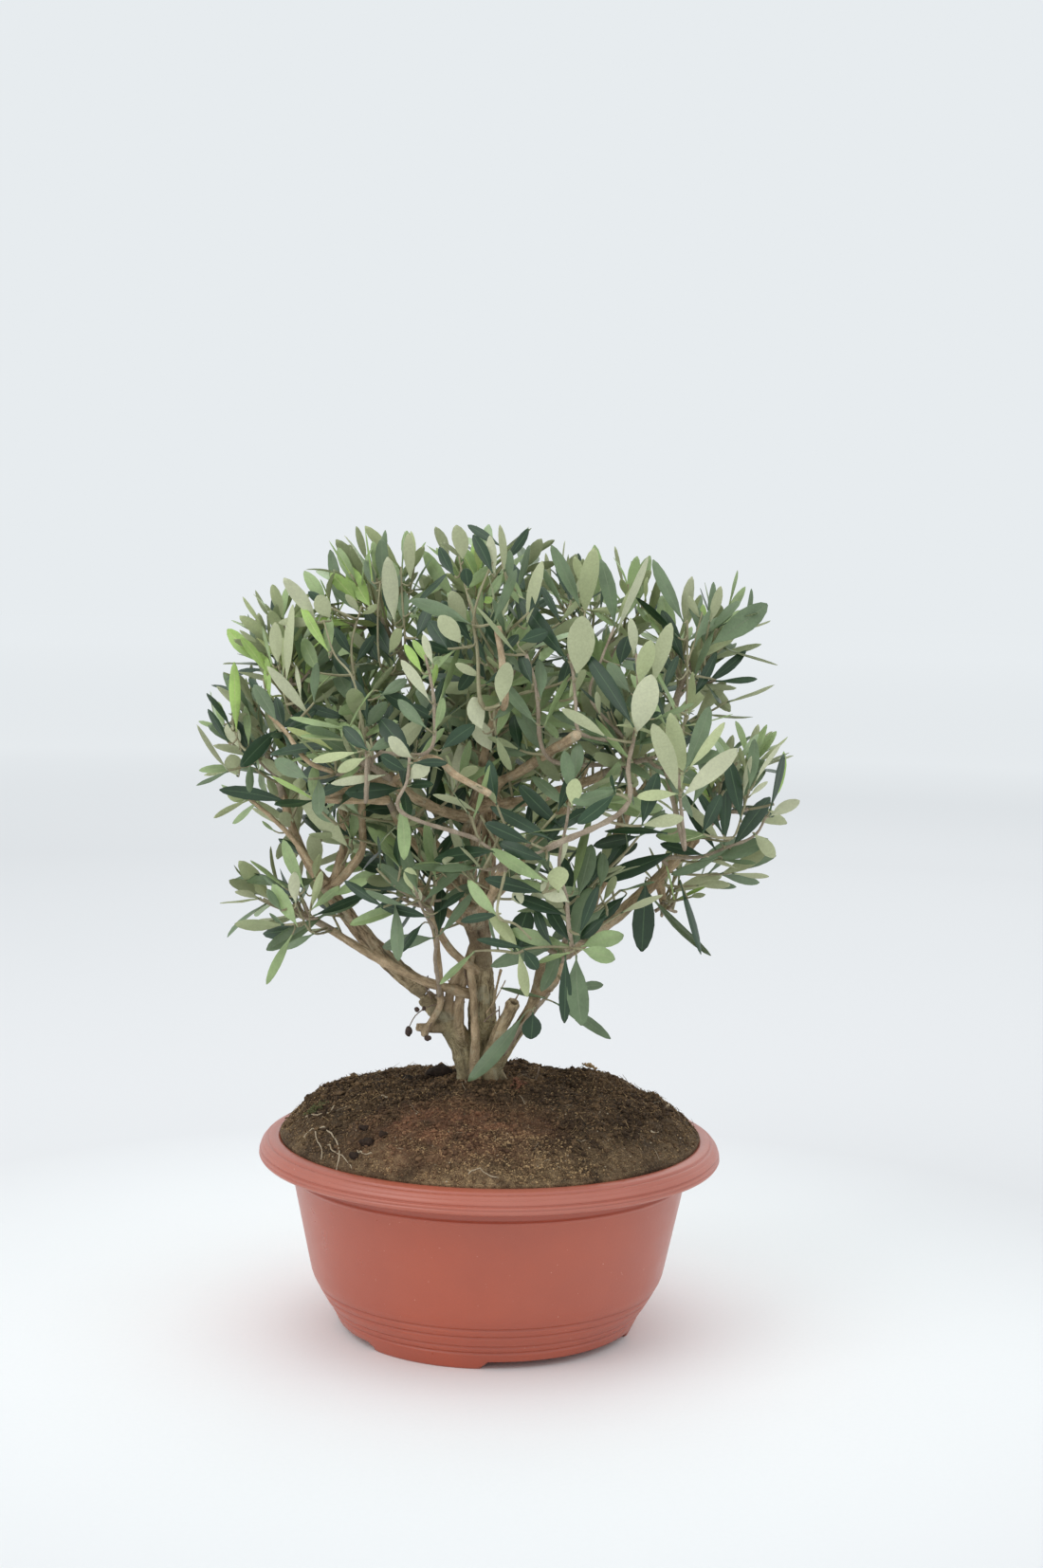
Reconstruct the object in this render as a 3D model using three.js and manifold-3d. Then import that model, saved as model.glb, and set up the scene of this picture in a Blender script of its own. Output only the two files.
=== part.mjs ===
import * as THREE from 'three';
import { mergeVertices } from 'three/addons/utils/BufferGeometryUtils.js';
import Module from 'manifold-3d';

const wasm = await Module();
wasm.setup();

// A young olive tree in a round pot, in millimetres. +Z is up, +X is right and -Y is the front.
// The origin is on the pot's axis, at the level that the pot stands on.

const gap = 0.3; // left between pieces that touch
const shortestEdge = 0.004;
const firstSeed = 101;

const pot = {
  rimRadius: 115, // outermost, on the rolled lip
  height: 97,
  lipRadius: 9, // of the lip's roll
  lipUnderside: 86,
  neckRadius: 98.2, // of the wall where it runs up under the lip
  cornerRadius: 87.8, // where the wall turns in towards the foot
  cornerHeight: 28,
  footRadius: 73,
  footWidth: 4.5,
  footHeight: 4.5,
  floor: 7, // height of the inside
  wall: 2.2,
  feet: 3,
  notchAngle: 74, // degrees between two feet
  notchTurn: -54, // degrees from +X to the middle of the first notch
  sides: 36,
};

const soil = {
  shoulder: 118, // height of the mound away from the trunk
  heap: 6.2, // how much higher it lies against the trunk
  heapWidth: 20,
  level: 19, // radius of the level patch that the trunk stands on
  steepness: 4.4, // how full the mound stays towards the rim
  lumps: 1.6,
};

const trunk = {
  foot: [-3, 0, 118.3], // inside the soil; the solid is cut off at the soil's surface
  route: [[-2, 0, 134], [-5, 0, 154], [-7, -2, 172], [-7, -3, 195]],
  radii: [14.5, 10.4, 12.2, 6.6, 5.9],
  flare: 0.16, // how far the root lobes stand out of the foot
  flareHeight: 9,
  lobes: 5,
  sides: 8,
  steps: 11,
};

// Short thick pieces that grew out of the trunk's knot and were cut back or carry a bough.
const knots = [
  { from: [-5, 0, 146], to: [-27, -1, 160], radii: [9.5, 5.2] },
  { from: [-3, 0, 140], to: [13, 1, 155], radii: [9, 7.2] },
  { from: [6, -4, 146], to: [9, -9, 164], radii: [4.2, 3] },
  { from: [-20, -3, 153], to: [-37, -9, 152], radii: [4, 2.2] },
  { from: [-3, 4, 144], to: [-6, 16, 158], radii: [8.5, 5] },
];

// Each bough leaves its parent at a share of the parent's length and bows away from a
// straight line by a few millimetres. It ends at its tip, or where it enters its mass of leaves.
const boughs = [
  {
    name: 'bough_left', parent: 'trunk', at: 0.5, tip: [-83, -6, 221],
    bow: [0, 0, -12], radii: [4.6, 3.3],
  },
  {
    name: 'bough_far_left', parent: 'bough_left', at: 1, mass: 'leaves_far_left',
    bow: [-2, 0, -3], radii: [2.7, 2],
  },
  {
    name: 'bough_left_curl', parent: 'bough_left', at: 0.97, mass: 'leaves_left_upper',
    bow: [12, 6, 0], radii: [2.6, 1.8],
  },
  {
    name: 'bough_low_left', parent: 'trunk', at: 0.64, mass: 'leaves_low_left',
    bow: [4, -9, -5], radii: [2.5, 1.8],
  },
  {
    name: 'bough_front', parent: 'trunk', at: 1, tip: [-4, -17, 280],
    bow: [-8, -3, -2], radii: [5.2, 3.9],
  },
  {
    name: 'bough_leader', parent: 'trunk', at: 0.93, mass: 'leaves_top',
    bow: [4, 7, 0], radii: [4.2, 2.4],
  },
  {
    name: 'bough_right', parent: 'trunk', at: 0.36, tip: [25, -6, 184],
    bow: [8, 0, -4], radii: [5, 4.1],
  },
  {
    name: 'bough_far_right', parent: 'bough_right', at: 0.98, mass: 'leaves_far_right',
    bow: [3, 2, -3], radii: [3.6, 2.2],
  },
  {
    name: 'bough_right_up', parent: 'bough_right', at: 0.8, tip: [66, 6, 266],
    bow: [4, 4, -4], radii: [3.4, 2.8],
  },
  {
    name: 'bough_right_top', parent: 'bough_right_up', at: 1, mass: 'leaves_top_right',
    bow: [5, 0, 2], radii: [2.4, 1.8],
  },
  {
    name: 'bough_right_outer', parent: 'bough_right_up', at: 0.96, mass: 'leaves_right_upper',
    bow: [4, 0, -4], radii: [2.3, 1.8],
  },
  {
    name: 'bough_front_right', parent: 'bough_front', at: 0.8, mass: 'leaves_front_right',
    bow: [2, 0, -3], radii: [2.9, 2],
  },
  {
    name: 'bough_front_left', parent: 'bough_front', at: 0.74, mass: 'leaves_front_left',
    bow: [0, 0, -4], radii: [2.7, 1.9],
  },
  {
    name: 'bough_centre', parent: 'bough_front', at: 0.97, mass: 'leaves_centre',
    bow: [0, 0, 0], radii: [2.6, 1.9],
  },
  {
    name: 'bough_front_top', parent: 'bough_front', at: 0.9, mass: 'leaves_top_front',
    bow: [-2, -6, 0], radii: [2.5, 1.8],
  },
  {
    name: 'bough_centre_left', parent: 'bough_front', at: 0.28, mass: 'leaves_left_front',
    bow: [-3, -1, -3], radii: [3.1, 2],
  },
  {
    name: 'bough_top_left', parent: 'bough_leader', at: 0.55, mass: 'leaves_top_left',
    bow: [-3, 0, -5], radii: [2.5, 1.8],
  },
  {
    name: 'bough_front_low', parent: 'bough_right', at: 0.72, mass: 'leaves_front_low',
    bow: [2, -4, -2], radii: [2.3, 1.7],
  },
  {
    name: 'bough_front_mid', parent: 'bough_front', at: 0.2, mass: 'leaves_front',
    bow: [0, -4, -7], radii: [2.7, 1.9],
  },
  {
    name: 'bough_left_low_front', parent: 'trunk', at: 0.8, mass: 'leaves_centre_low',
    bow: [-2, -3, -3], radii: [2.2, 1.7],
  },
  {
    name: 'bough_right_low', parent: 'bough_far_right', at: 0.72, mass: 'leaves_low_right',
    bow: [0, 0, 1], radii: [2, 1.6],
  },
  {
    name: 'bough_back', parent: 'trunk', at: 0.62, tip: [-6, 38, 214],
    bow: [0, 7, -5], radii: [4.6, 3.6],
  },
  {
    name: 'bough_back_left', parent: 'bough_back', at: 0.96, mass: 'leaves_back_left',
    bow: [-3, 2, -5], radii: [3, 2],
  },
  {
    name: 'bough_back_right', parent: 'bough_back', at: 0.9, mass: 'leaves_back_right',
    bow: [4, 2, -5], radii: [3, 2],
  },
  {
    name: 'bough_back_mid', parent: 'bough_back', at: 1, mass: 'leaves_back',
    bow: [0, 3, -5], radii: [2.8, 1.9],
  },
  {
    name: 'bough_back_top', parent: 'bough_leader', at: 0.42, mass: 'leaves_top_back',
    bow: [0, 3, -4], radii: [2.6, 1.8],
  },
  {
    name: 'bough_back_low', parent: 'bough_back', at: 0.7, mass: 'leaves_back_low',
    bow: [-2, 3, -4], radii: [2.3, 1.7],
  },
];

// Each mass of leaves keeps to the space nearest its own centre, within its reach.
const masses = {
  leaves_top: { centre: [-8, 8, 362], reach: [40, 38, 43] },
  leaves_top_left: { centre: [-60, -2, 350], reach: [38, 38, 46] },
  leaves_top_right: { centre: [47, 6, 346], reach: [38, 38, 45] },
  leaves_top_back: { centre: [-14, 76, 338], reach: [44, 40, 44] },
  leaves_top_front: { centre: [2, -64, 328], reach: [44, 40, 44] },
  leaves_left_upper: { centre: [-98, -10, 320], reach: [38, 40, 50] },
  leaves_right_upper: { centre: [97, 4, 332], reach: [38, 40, 48] },
  leaves_back_right: { centre: [62, 84, 302], reach: [46, 42, 46] },
  leaves_back_left: { centre: [-76, 74, 298], reach: [46, 44, 46] },
  leaves_front_right: { centre: [70, -72, 292], reach: [46, 42, 46] },
  leaves_front_left: { centre: [-62, -82, 288], reach: [44, 42, 46] },
  leaves_far_left: { centre: [-116, 6, 284], reach: [38, 42, 42] },
  leaves_far_right: { centre: [115, -10, 264], reach: [38, 42, 42] },
  leaves_left_front: { centre: [-62, -30, 276], reach: [36, 38, 38] },
  leaves_centre: { centre: [0, -8, 306], reach: [40, 40, 36] },
  leaves_back: { centre: [-4, 102, 258], reach: [46, 42, 44] },
  leaves_front: { centre: [8, -98, 250], reach: [46, 42, 42] },
  leaves_low_left: { centre: [-98, -14, 208], reach: [34, 36, 38] },
  leaves_low_right: { centre: [84, 2, 214], reach: [30, 34, 32] },
  leaves_front_low: { centre: [40, -50, 206], reach: [38, 38, 48] },
  leaves_centre_low: { centre: [-38, -46, 224], reach: [36, 36, 34] },
  leaves_back_low: { centre: [-56, 66, 224], reach: [38, 38, 34] },
};

const growth = {
  twigs: 5, // side twigs in each mass
  pairs: 3, // opposite pairs of leaves on a twig, the last pair at its tip
  spread: 0.38, // how far out a twig ends, as a share of the reach
  along: [0.25, 0.9], // shares of the stem's length between which the twigs leave it
  leafed: [0.4, 0.97], // shares of a twig's length that hold the first pair and the last
  climb: [-0.45, 0.9], // how steeply a twig may fall or rise
  sag: 2,
  stemRadii: [2.3, 1.7],
  twigRadii: [1.1, 1.1],
  goldenAngle: 2.39996,
  entry: 0.52, // where a bough ends, as a share of the reach short of the mass's centre
  overshoot: 0.1, // how far the stem runs on past the centre
  shortestBough: 14,
  clearance: 1.5, // between leaves or twigs and the limbs of others
  ownEnd: 6, // a mass may come this near the end of the bough that carries it
};

const leaf = {
  length: [34, 43],
  width: 0.31, // as a share of the length
  thickness: 1.1,
  widest: 0.57, // as a share of the length
  sunk: 0.12, // how far the leaf's root lies beyond its twig's centre line
  stalk: 6, // length near the root that may cross other leaves
  cutBack: [1, 0.85, 0.7], // a leaf that doesn't fit is tried again at these shares of its length
  lean: [62, 28], // degrees from the twig, for the lowest pair and the pair at the tip
};

const colours = {
  pot: { color: 0xaf5f4e, roughness: 0.5, metalness: 0 },
  soil: { color: 0x463728, roughness: 0.95, metalness: 0 },
  bark: { color: 0x9c8d78, roughness: 0.85, metalness: 0 },
  leaves: { color: 0x55684f, roughness: 0.6, metalness: 0 },
};

const up = new THREE.Vector3(0, 0, 1);
const tree = new THREE.Group();

function vector(values) {
  return new THREE.Vector3(...values);
}

function toSolid(geometry) {
  geometry.deleteAttribute('normal');
  geometry.deleteAttribute('uv');
  const merged = mergeVertices(geometry, 1e-4);
  const corners = merged.index.array;
  const faces = [];
  for (let i = 0; i < corners.length; i += 3) {
    const [a, b, c] = corners.slice(i, i + 3);
    const isEmpty = a === b || b === c || c === a; // as at a lathe's poles
    if (!isEmpty) faces.push(a, b, c);
  }
  return new wasm.Manifold(new wasm.Mesh({
    numProp: 3,
    vertProperties: new Float32Array(merged.attributes.position.array),
    triVerts: new Uint32Array(faces),
  }));
}

// Of what a join or cut leaves, the main body: sealed hollows are filled and scraps are dropped.
function mainBody(solid) {
  const bodies = solid.decompose();
  return bodies.reduce((most, body) => (body.volume() > most.volume() ? body : most));
}

// True where no edge is so short that the join would fall apart when it is rounded.
function isSound(solid) {
  const { vertProperties, triVerts } = solid.getMesh();
  const corner = (i) => new THREE.Vector3().fromArray(vertProperties, 3 * triVerts[i]);
  for (let i = 0; i < triVerts.length; i += 3) {
    const [a, b, c] = [corner(i), corner(i + 1), corner(i + 2)];
    if (Math.min(a.distanceTo(b), b.distanceTo(c), c.distanceTo(a)) < shortestEdge) return false;
  }
  return true;
}

function addNode(name, solid, finish) {
  const { vertProperties, triVerts } = mainBody(solid).getMesh();
  const geometry = new THREE.BufferGeometry();
  geometry.setAttribute('position', new THREE.BufferAttribute(vertProperties, 3));
  geometry.setIndex(new THREE.BufferAttribute(triVerts, 1));
  geometry.computeVertexNormals();
  const mesh = new THREE.Mesh(geometry, new THREE.MeshStandardMaterial(finish));
  mesh.name = name;
  tree.add(mesh);
}

function lathed(outline) {
  const points = outline.map(([radius, height]) => new THREE.Vector2(radius, height));
  return new THREE.LatheGeometry(points, pot.sides).rotateX(Math.PI / 2);
}

// The same random numbers each time for one seed.
function dice(seed) {
  let state = seed;
  return () => {
    state = (state * 1664525 + 1013904223) % 4294967296;
    return state / 4294967296;
  };
}

// A closed tube along a curve. Its radius is read from a few even steps between foot and tip.
function tube(curve, radii, { sides = 6, steps = 4, swell = 0, shape = () => 1 } = {}) {
  const geometry = new THREE.CylinderGeometry(1, 1, 1, sides, steps);
  const frames = curve.computeFrenetFrames(steps, false);
  const position = geometry.attributes.position;
  for (let i = 0; i < position.count; i += 1) {
    const share = position.getY(i) + 0.5;
    const step = Math.round(share * steps);
    const across = position.getX(i);
    const along = position.getZ(i);
    const reach = (radiusAt(radii, share) + swell) * shape(share, Math.atan2(along, across));
    const point = curve.getPointAt(share)
      .addScaledVector(frames.binormals[step], across * reach)
      .addScaledVector(frames.normals[step], along * reach);
    position.setXYZ(i, point.x, point.y, point.z);
  }
  return toSolid(geometry);
}

function radiusAt(radii, share) {
  const place = share * (radii.length - 1);
  const step = Math.min(Math.floor(place), radii.length - 2);
  return THREE.MathUtils.lerp(radii[step], radii[step + 1], place - step);
}

function bowed(foot, tip, bow) {
  const middle = foot.clone().lerp(tip, 0.5).addScaledVector(bow, 2);
  return new THREE.QuadraticBezierCurve3(foot, middle, tip);
}

// Pot and soil

function insideOutline(inset) {
  const wall = pot.wall + inset;
  return [
    [pot.rimRadius - pot.lipRadius - inset, pot.height - inset],
    [pot.neckRadius - wall, pot.lipUnderside - 4],
    [pot.cornerRadius - wall, pot.cornerHeight],
    [pot.footRadius + 7 - wall, pot.floor + 8],
    [pot.footRadius - wall, pot.floor + inset],
    [0, pot.floor + inset],
  ];
}

function potSolid() {
  const lip = [];
  for (let step = 0; step <= 5; step += 1) {
    const turn = (step / 5) * (Math.PI / 2);
    const middle = pot.rimRadius - pot.lipRadius;
    lip.push([middle + pot.lipRadius * Math.cos(turn), pot.height + pot.lipRadius * (Math.sin(turn) - 1)]);
  }
  const bowl = toSolid(lathed([
    [0, pot.footHeight],
    [pot.footRadius - pot.footWidth, pot.footHeight],
    [pot.footRadius - pot.footWidth, 0],
    [pot.footRadius, 0],
    [pot.footRadius + 4.5, 10],
    [pot.footRadius + 9.6, 18],
    [pot.cornerRadius, pot.cornerHeight],
    [pot.neckRadius, pot.lipUnderside - 9],
    [pot.neckRadius + 0.8, pot.lipUnderside - 8],
    [pot.neckRadius, pot.lipUnderside - 6.5],
    [pot.neckRadius, pot.lipUnderside - 1],
    [pot.rimRadius - 2.5, pot.lipUnderside],
    ...lip,
    ...insideOutline(0).slice(1),
  ]));
  return notches().reduce((solid, notch) => solid.subtract(notch), bowl);
}

// The gaps between the feet, where water runs out from under the pot.
function notches() {
  const half = THREE.MathUtils.degToRad(pot.notchAngle / 2);
  const sector = new THREE.Shape();
  sector.absarc(0, 0, pot.footRadius + 8, -half, half, false);
  sector.absarc(0, 0, pot.footRadius - pot.footWidth - 4, half, -half, true);
  sector.closePath();
  const cuts = [];
  for (let i = 0; i < pot.feet; i += 1) {
    const turn = THREE.MathUtils.degToRad(pot.notchTurn) + (i * 2 * Math.PI) / pot.feet;
    const geometry = new THREE.ExtrudeGeometry(sector, {
      depth: pot.footHeight + 1,
      bevelEnabled: false,
      curveSegments: 8,
    });
    cuts.push(toSolid(geometry.translate(0, 0, -1).rotateZ(turn)));
  }
  return cuts;
}

const soilEdge = pot.rimRadius - pot.lipRadius - gap;

function moundHeight(radius) {
  const out = Math.max(radius - soil.level, 0);
  const fullness = 1 - (out / (soilEdge - soil.level)) ** soil.steepness;
  const heap = soil.heap * Math.exp(-((out / soil.heapWidth) ** 2));
  return pot.height + (soil.shoulder - pot.height) * fullness + heap;
}

function soilSolid() {
  const mound = [];
  for (let radius = soil.level; radius < soilEdge - 4; radius += 12) {
    mound.push([radius, moundHeight(radius)]);
  }
  const outline = [...insideOutline(gap).reverse(), ...mound.reverse(), [0, moundHeight(0)]];
  const geometry = lathed(outline);
  const position = geometry.attributes.position;
  for (let i = 0; i < position.count; i += 1) {
    const [x, y, z] = [position.getX(i), position.getY(i), position.getZ(i)];
    const onMound = z > pot.height && Math.hypot(x, y) > soil.level + 1;
    if (onMound) position.setZ(i, z + soil.lumps * Math.sin(x / 11 + 1) * Math.cos(y / 13));
  }
  return toSolid(geometry);
}

// Trunk and boughs

const limbs = {};

function trunkSolid(swell) {
  const root = (share, turn) => {
    const height = share * trunkCurve.getLength();
    return 1 + trunk.flare * Math.exp(-height / trunk.flareHeight) * Math.cos(trunk.lobes * turn);
  };
  const { sides, steps } = trunk;
  const stem = tube(trunkCurve, trunk.radii, { sides, steps, swell, shape: root });
  const whole = knots.reduce((solid, knot) => {
    const curve = bowed(vector(knot.from), vector(knot.to), vector([0, 0, -1]));
    return solid.add(tube(curve, knot.radii, { steps: 3, swell }));
  }, stem);
  const ground = new THREE.BoxGeometry(200, 200, 40).translate(0, 0, moundHeight(0) + gap - 20);
  return whole.subtract(toSolid(ground));
}

const trunkCurve = new THREE.CatmullRomCurve3([trunk.foot, ...trunk.route].map(vector));

function growTrunk() {
  const solid = trunkSolid(0);
  limbs.trunk = { curve: trunkCurve, radii: trunk.radii, swollen: trunkSolid(gap) };
  addNode('trunk', solid, colours.bark);
}

function growBough(bough) {
  const parent = limbs[bough.parent];
  const foot = parent.curve.getPointAt(bough.at);
  const tip = bough.mass ? entryPoint(masses[bough.mass], foot) : vector(bough.tip);
  const curve = bowed(foot, tip, vector(bough.bow));
  const earlier = Object.values(limbs);
  const cut = (solid) => earlier.reduce((rest, limb) => rest.subtract(limb.swollen), solid);
  limbs[bough.name] = { curve, radii: bough.radii, swollen: tube(curve, bough.radii, { swell: gap }) };
  addNode(bough.name, cut(tube(curve, bough.radii)), colours.bark);
}

function entryPoint(mass, foot) {
  const centre = vector(mass.centre);
  const inward = foot.clone().sub(centre);
  const depth = Math.min(growth.entry * mass.reach[2], inward.length() - growth.shortestBough);
  return centre.addScaledVector(inward.normalize(), depth);
}

// Masses of leaves

function limbPoints() {
  const points = [];
  for (const { curve, radii } of Object.values(limbs)) {
    const count = Math.ceil(curve.getLength() / 2.5);
    for (let i = 0; i <= count; i += 1) {
      points.push({ at: curve.getPointAt(i / count), radius: radiusAt(radii, i / count) });
    }
  }
  for (const { from, to, radii } of knots) {
    for (let share = 0; share <= 1; share += 0.1) {
      points.push({ at: vector(from).lerp(vector(to), share), radius: radiusAt(radii, share) });
    }
  }
  return points;
}

// True where a point is in the mass's reach and nearer its centre than any other's.
function inSpace(mass, point) {
  const centre = vector(mass.centre);
  const scaled = point.clone().sub(centre).divide(vector(mass.reach));
  if (scaled.length() > 1) return false;
  const own = point.distanceTo(centre);
  return Object.values(masses).every((other) => {
    if (other === mass) return true;
    const away = vector(other.centre);
    const apart = away.distanceTo(centre);
    const ahead = (point.distanceTo(away) ** 2 - own ** 2) / (2 * apart);
    return ahead > gap;
  });
}

function clearOfLimbs(from, to, halfWidth, points) {
  const line = new THREE.Line3(from, to);
  const nearest = new THREE.Vector3();
  return points.every(({ at, radius }) => {
    line.closestPointToPoint(at, true, nearest);
    return nearest.distanceTo(at) > radius + halfWidth + growth.clearance;
  });
}

function leafSolid(root, along, face, length) {
  const across = new THREE.Vector3().crossVectors(along, face).normalize();
  const geometry = new THREE.OctahedronGeometry(1);
  const position = geometry.attributes.position;
  const corners = [];
  for (let i = 0; i < position.count; i += 1) {
    const y = position.getY(i);
    const forward = length * (leaf.widest + (y > 0 ? 1 - leaf.widest : leaf.widest) * y);
    const corner = root.clone()
      .addScaledVector(along, forward)
      .addScaledVector(across, (position.getX(i) * length * leaf.width) / 2)
      .addScaledVector(face, (position.getZ(i) * leaf.thickness) / 2);
    position.setXYZ(i, corner.x, corner.y, corner.z);
    corners.push(corner);
  }
  return { solid: toSolid(geometry), corners };
}

// Opposite leaves in pairs, each pair a quarter turn from the last and leaning closer to the tip.
function addLeaves(solid, twig, mass, roll, points) {
  let grown = solid;
  const start = roll() * Math.PI;
  for (let pair = 0; pair < growth.pairs; pair += 1) {
    const place = THREE.MathUtils.lerp(...growth.leafed, pair / (growth.pairs - 1));
    const heading = twig.getTangentAt(place);
    const lean = THREE.MathUtils.degToRad(THREE.MathUtils.lerp(...leaf.lean, pair / (growth.pairs - 1)));
    const upright = Math.abs(heading.z) > 0.9;
    const side = new THREE.Vector3().crossVectors(heading, upright ? vector([1, 0, 0]) : up);
    side.normalize().applyAxisAngle(heading, start + (pair * Math.PI) / 2);
    for (const hand of [1, -1]) {
      const out = side.clone().multiplyScalar(hand);
      const along = heading.clone().multiplyScalar(Math.cos(lean)).addScaledVector(out, Math.sin(lean));
      const face = heading.clone().multiplyScalar(Math.sin(lean)).addScaledVector(out, -Math.cos(lean));
      const root = twig.getPointAt(place).addScaledVector(along, -leaf.sunk);
      const full = THREE.MathUtils.lerp(...leaf.length, roll());
      for (const share of leaf.cutBack) {
        const blade = leafThatFits(root, along, face, full * share, mass, grown, points);
        const joined = blade && grown.add(blade);
        if (!joined || !isSound(joined)) continue;
        grown = joined;
        break;
      }
    }
  }
  return grown;
}

function leafThatFits(root, along, face, length, mass, grown, points) {
  const { solid, corners } = leafSolid(root, along, face, length);
  if (!corners.every((corner) => inSpace(mass, corner))) return null;
  const tip = root.clone().addScaledVector(along, length);
  if (!clearOfLimbs(root, tip, (length * leaf.width) / 2, points)) return null;
  const free = root.clone().addScaledVector(along, leaf.stalk);
  const blade = leafSolid(free, along, face, length - leaf.stalk).solid;
  return blade.intersect(grown).isEmpty() ? solid : null;
}

function growMass(bough, seed, points) {
  const mass = masses[bough.mass];
  const { curve } = limbs[bough.name];
  const roll = dice(seed);
  const heading = curve.getTangentAt(1);
  const foot = curve.getPointAt(1).addScaledVector(heading, gap);
  const centre = vector(mass.centre);
  const reach = vector(mass.reach);
  const stemTip = centre.clone().addScaledVector(heading, growth.overshoot * reach.z);
  const bend = foot.clone().addScaledVector(heading, foot.distanceTo(stemTip) / 2);
  const stem = new THREE.QuadraticBezierCurve3(foot, bend, stemTip);
  const foreign = points.filter(({ at }) => at.distanceTo(foot) > growth.ownEnd);
  let solid = tube(stem, growth.stemRadii, { sides: 3, steps: 3 });
  solid = addLeaves(solid, stem, mass, roll, foreign);
  for (let i = 0; i < growth.twigs; i += 1) {
    const share = THREE.MathUtils.lerp(...growth.along, i / (growth.twigs - 1));
    const azimuth = i * growth.goldenAngle + roll() * 0.8 + seed;
    const climb = THREE.MathUtils.lerp(...growth.climb, roll());
    const out = vector([Math.cos(azimuth), Math.sin(azimuth), climb]).normalize();
    const from = stem.getPointAt(share);
    const tip = centre.clone().addScaledVector(out.multiply(reach), growth.spread);
    const twig = bowed(from, tip, up.clone().multiplyScalar(-growth.sag));
    const fits = inSpace(mass, tip) && clearOfLimbs(from, tip, 1, foreign);
    if (!fits) continue;
    solid = solid.add(tube(twig, growth.twigRadii, { sides: 3, steps: 1 }));
    solid = addLeaves(solid, twig, mass, roll, foreign);
  }
  addNode(bough.mass, solid, colours.leaves);
}

addNode('pot', potSolid(), colours.pot);
addNode('soil', soilSolid(), colours.soil);
growTrunk();
boughs.forEach(growBough);
const bearing = boughs.filter((bough) => bough.mass);
const samples = limbPoints();
bearing.forEach((bough, i) => growMass(bough, firstSeed + i, samples));

export default tree;
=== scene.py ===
import math
from itertools import product

import bmesh
import bpy
import numpy as np
from mathutils import Matrix, Vector


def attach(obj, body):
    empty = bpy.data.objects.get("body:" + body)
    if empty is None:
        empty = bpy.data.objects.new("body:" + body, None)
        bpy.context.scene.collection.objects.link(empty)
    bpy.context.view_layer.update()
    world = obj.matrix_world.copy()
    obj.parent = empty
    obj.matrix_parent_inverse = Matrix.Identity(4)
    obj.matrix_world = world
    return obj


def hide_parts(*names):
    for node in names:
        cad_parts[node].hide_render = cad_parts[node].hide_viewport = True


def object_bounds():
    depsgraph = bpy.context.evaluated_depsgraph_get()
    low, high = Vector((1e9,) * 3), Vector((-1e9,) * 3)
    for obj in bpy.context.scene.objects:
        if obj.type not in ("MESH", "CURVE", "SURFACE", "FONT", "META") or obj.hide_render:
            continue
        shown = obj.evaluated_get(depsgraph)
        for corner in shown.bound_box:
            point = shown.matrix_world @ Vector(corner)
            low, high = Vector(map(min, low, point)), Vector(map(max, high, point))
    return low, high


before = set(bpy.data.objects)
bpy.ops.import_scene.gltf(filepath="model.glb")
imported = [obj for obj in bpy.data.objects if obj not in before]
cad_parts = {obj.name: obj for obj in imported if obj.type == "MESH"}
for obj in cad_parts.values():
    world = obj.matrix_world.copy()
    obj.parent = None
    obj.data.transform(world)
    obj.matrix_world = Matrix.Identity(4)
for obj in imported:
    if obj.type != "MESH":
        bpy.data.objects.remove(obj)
cadBox = [[float(v) for v in corner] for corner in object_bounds()]

mm = 0.001  # the tables below are in millimetres
scene = bpy.context.scene
up = np.array([0.0, 0.0, 1.0])


# small tools

def dice(seed):
    state = seed

    def roll():
        nonlocal state
        state = (state * 1664525 + 1013904223) % 4294967296
        return state / 4294967296
    return roll


def lerp(ends, share):
    return ends[0] + (ends[1] - ends[0]) * share


def unit(v):
    return v / np.linalg.norm(v)


def turned(v, axis, angle):
    turned = v * math.cos(angle) + np.cross(axis, v) * math.sin(angle)
    return turned + axis * (axis @ v) * (1 - math.cos(angle))


def ease(low, high, value):  # 0 below low, 1 above high, smooth between
    share = np.clip((value - low) / (high - low), 0, 1)
    return share * share * (3 - 2 * share)


def rough(points, size, seed=0):  # smooth random heights from -1 to 1, with bumps about that size
    q = np.asarray(points, float) / size
    cell = np.floor(q).astype(np.int64)
    f = q - cell
    f = f * f * (3 - 2 * f)
    total = np.zeros(len(q))
    for corner in product((0, 1), repeat=3):
        c = cell + corner
        h = c[:, 0] * 374761393 + c[:, 1] * 668265263 + c[:, 2] * 1442695041  # big odd numbers mix the bits
        h = (h + seed * 1274126177) & 0xffffffff
        h = ((h ^ (h >> 13)) * 1274126177) & 0xffffffff
        h = (h ^ (h >> 16)) / 4294967295
        total += h * np.prod(np.where(corner, f, 1 - f), axis=1)
    return total * 2 - 1


def addPiece(name, mesh, nodes, materials, smooth=True):
    piece = bpy.data.objects.new(name, mesh)
    scene.collection.objects.link(piece)
    for material in materials:
        mesh.materials.append(material)
    if smooth:
        mesh.shade_smooth()
    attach(piece, "root")
    if nodes:
        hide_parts(*nodes)
    return piece


def meshFromBmesh(name, bm):
    mesh = bpy.data.meshes.new(name)
    bm.to_mesh(mesh)
    bm.free()
    return mesh


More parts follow.
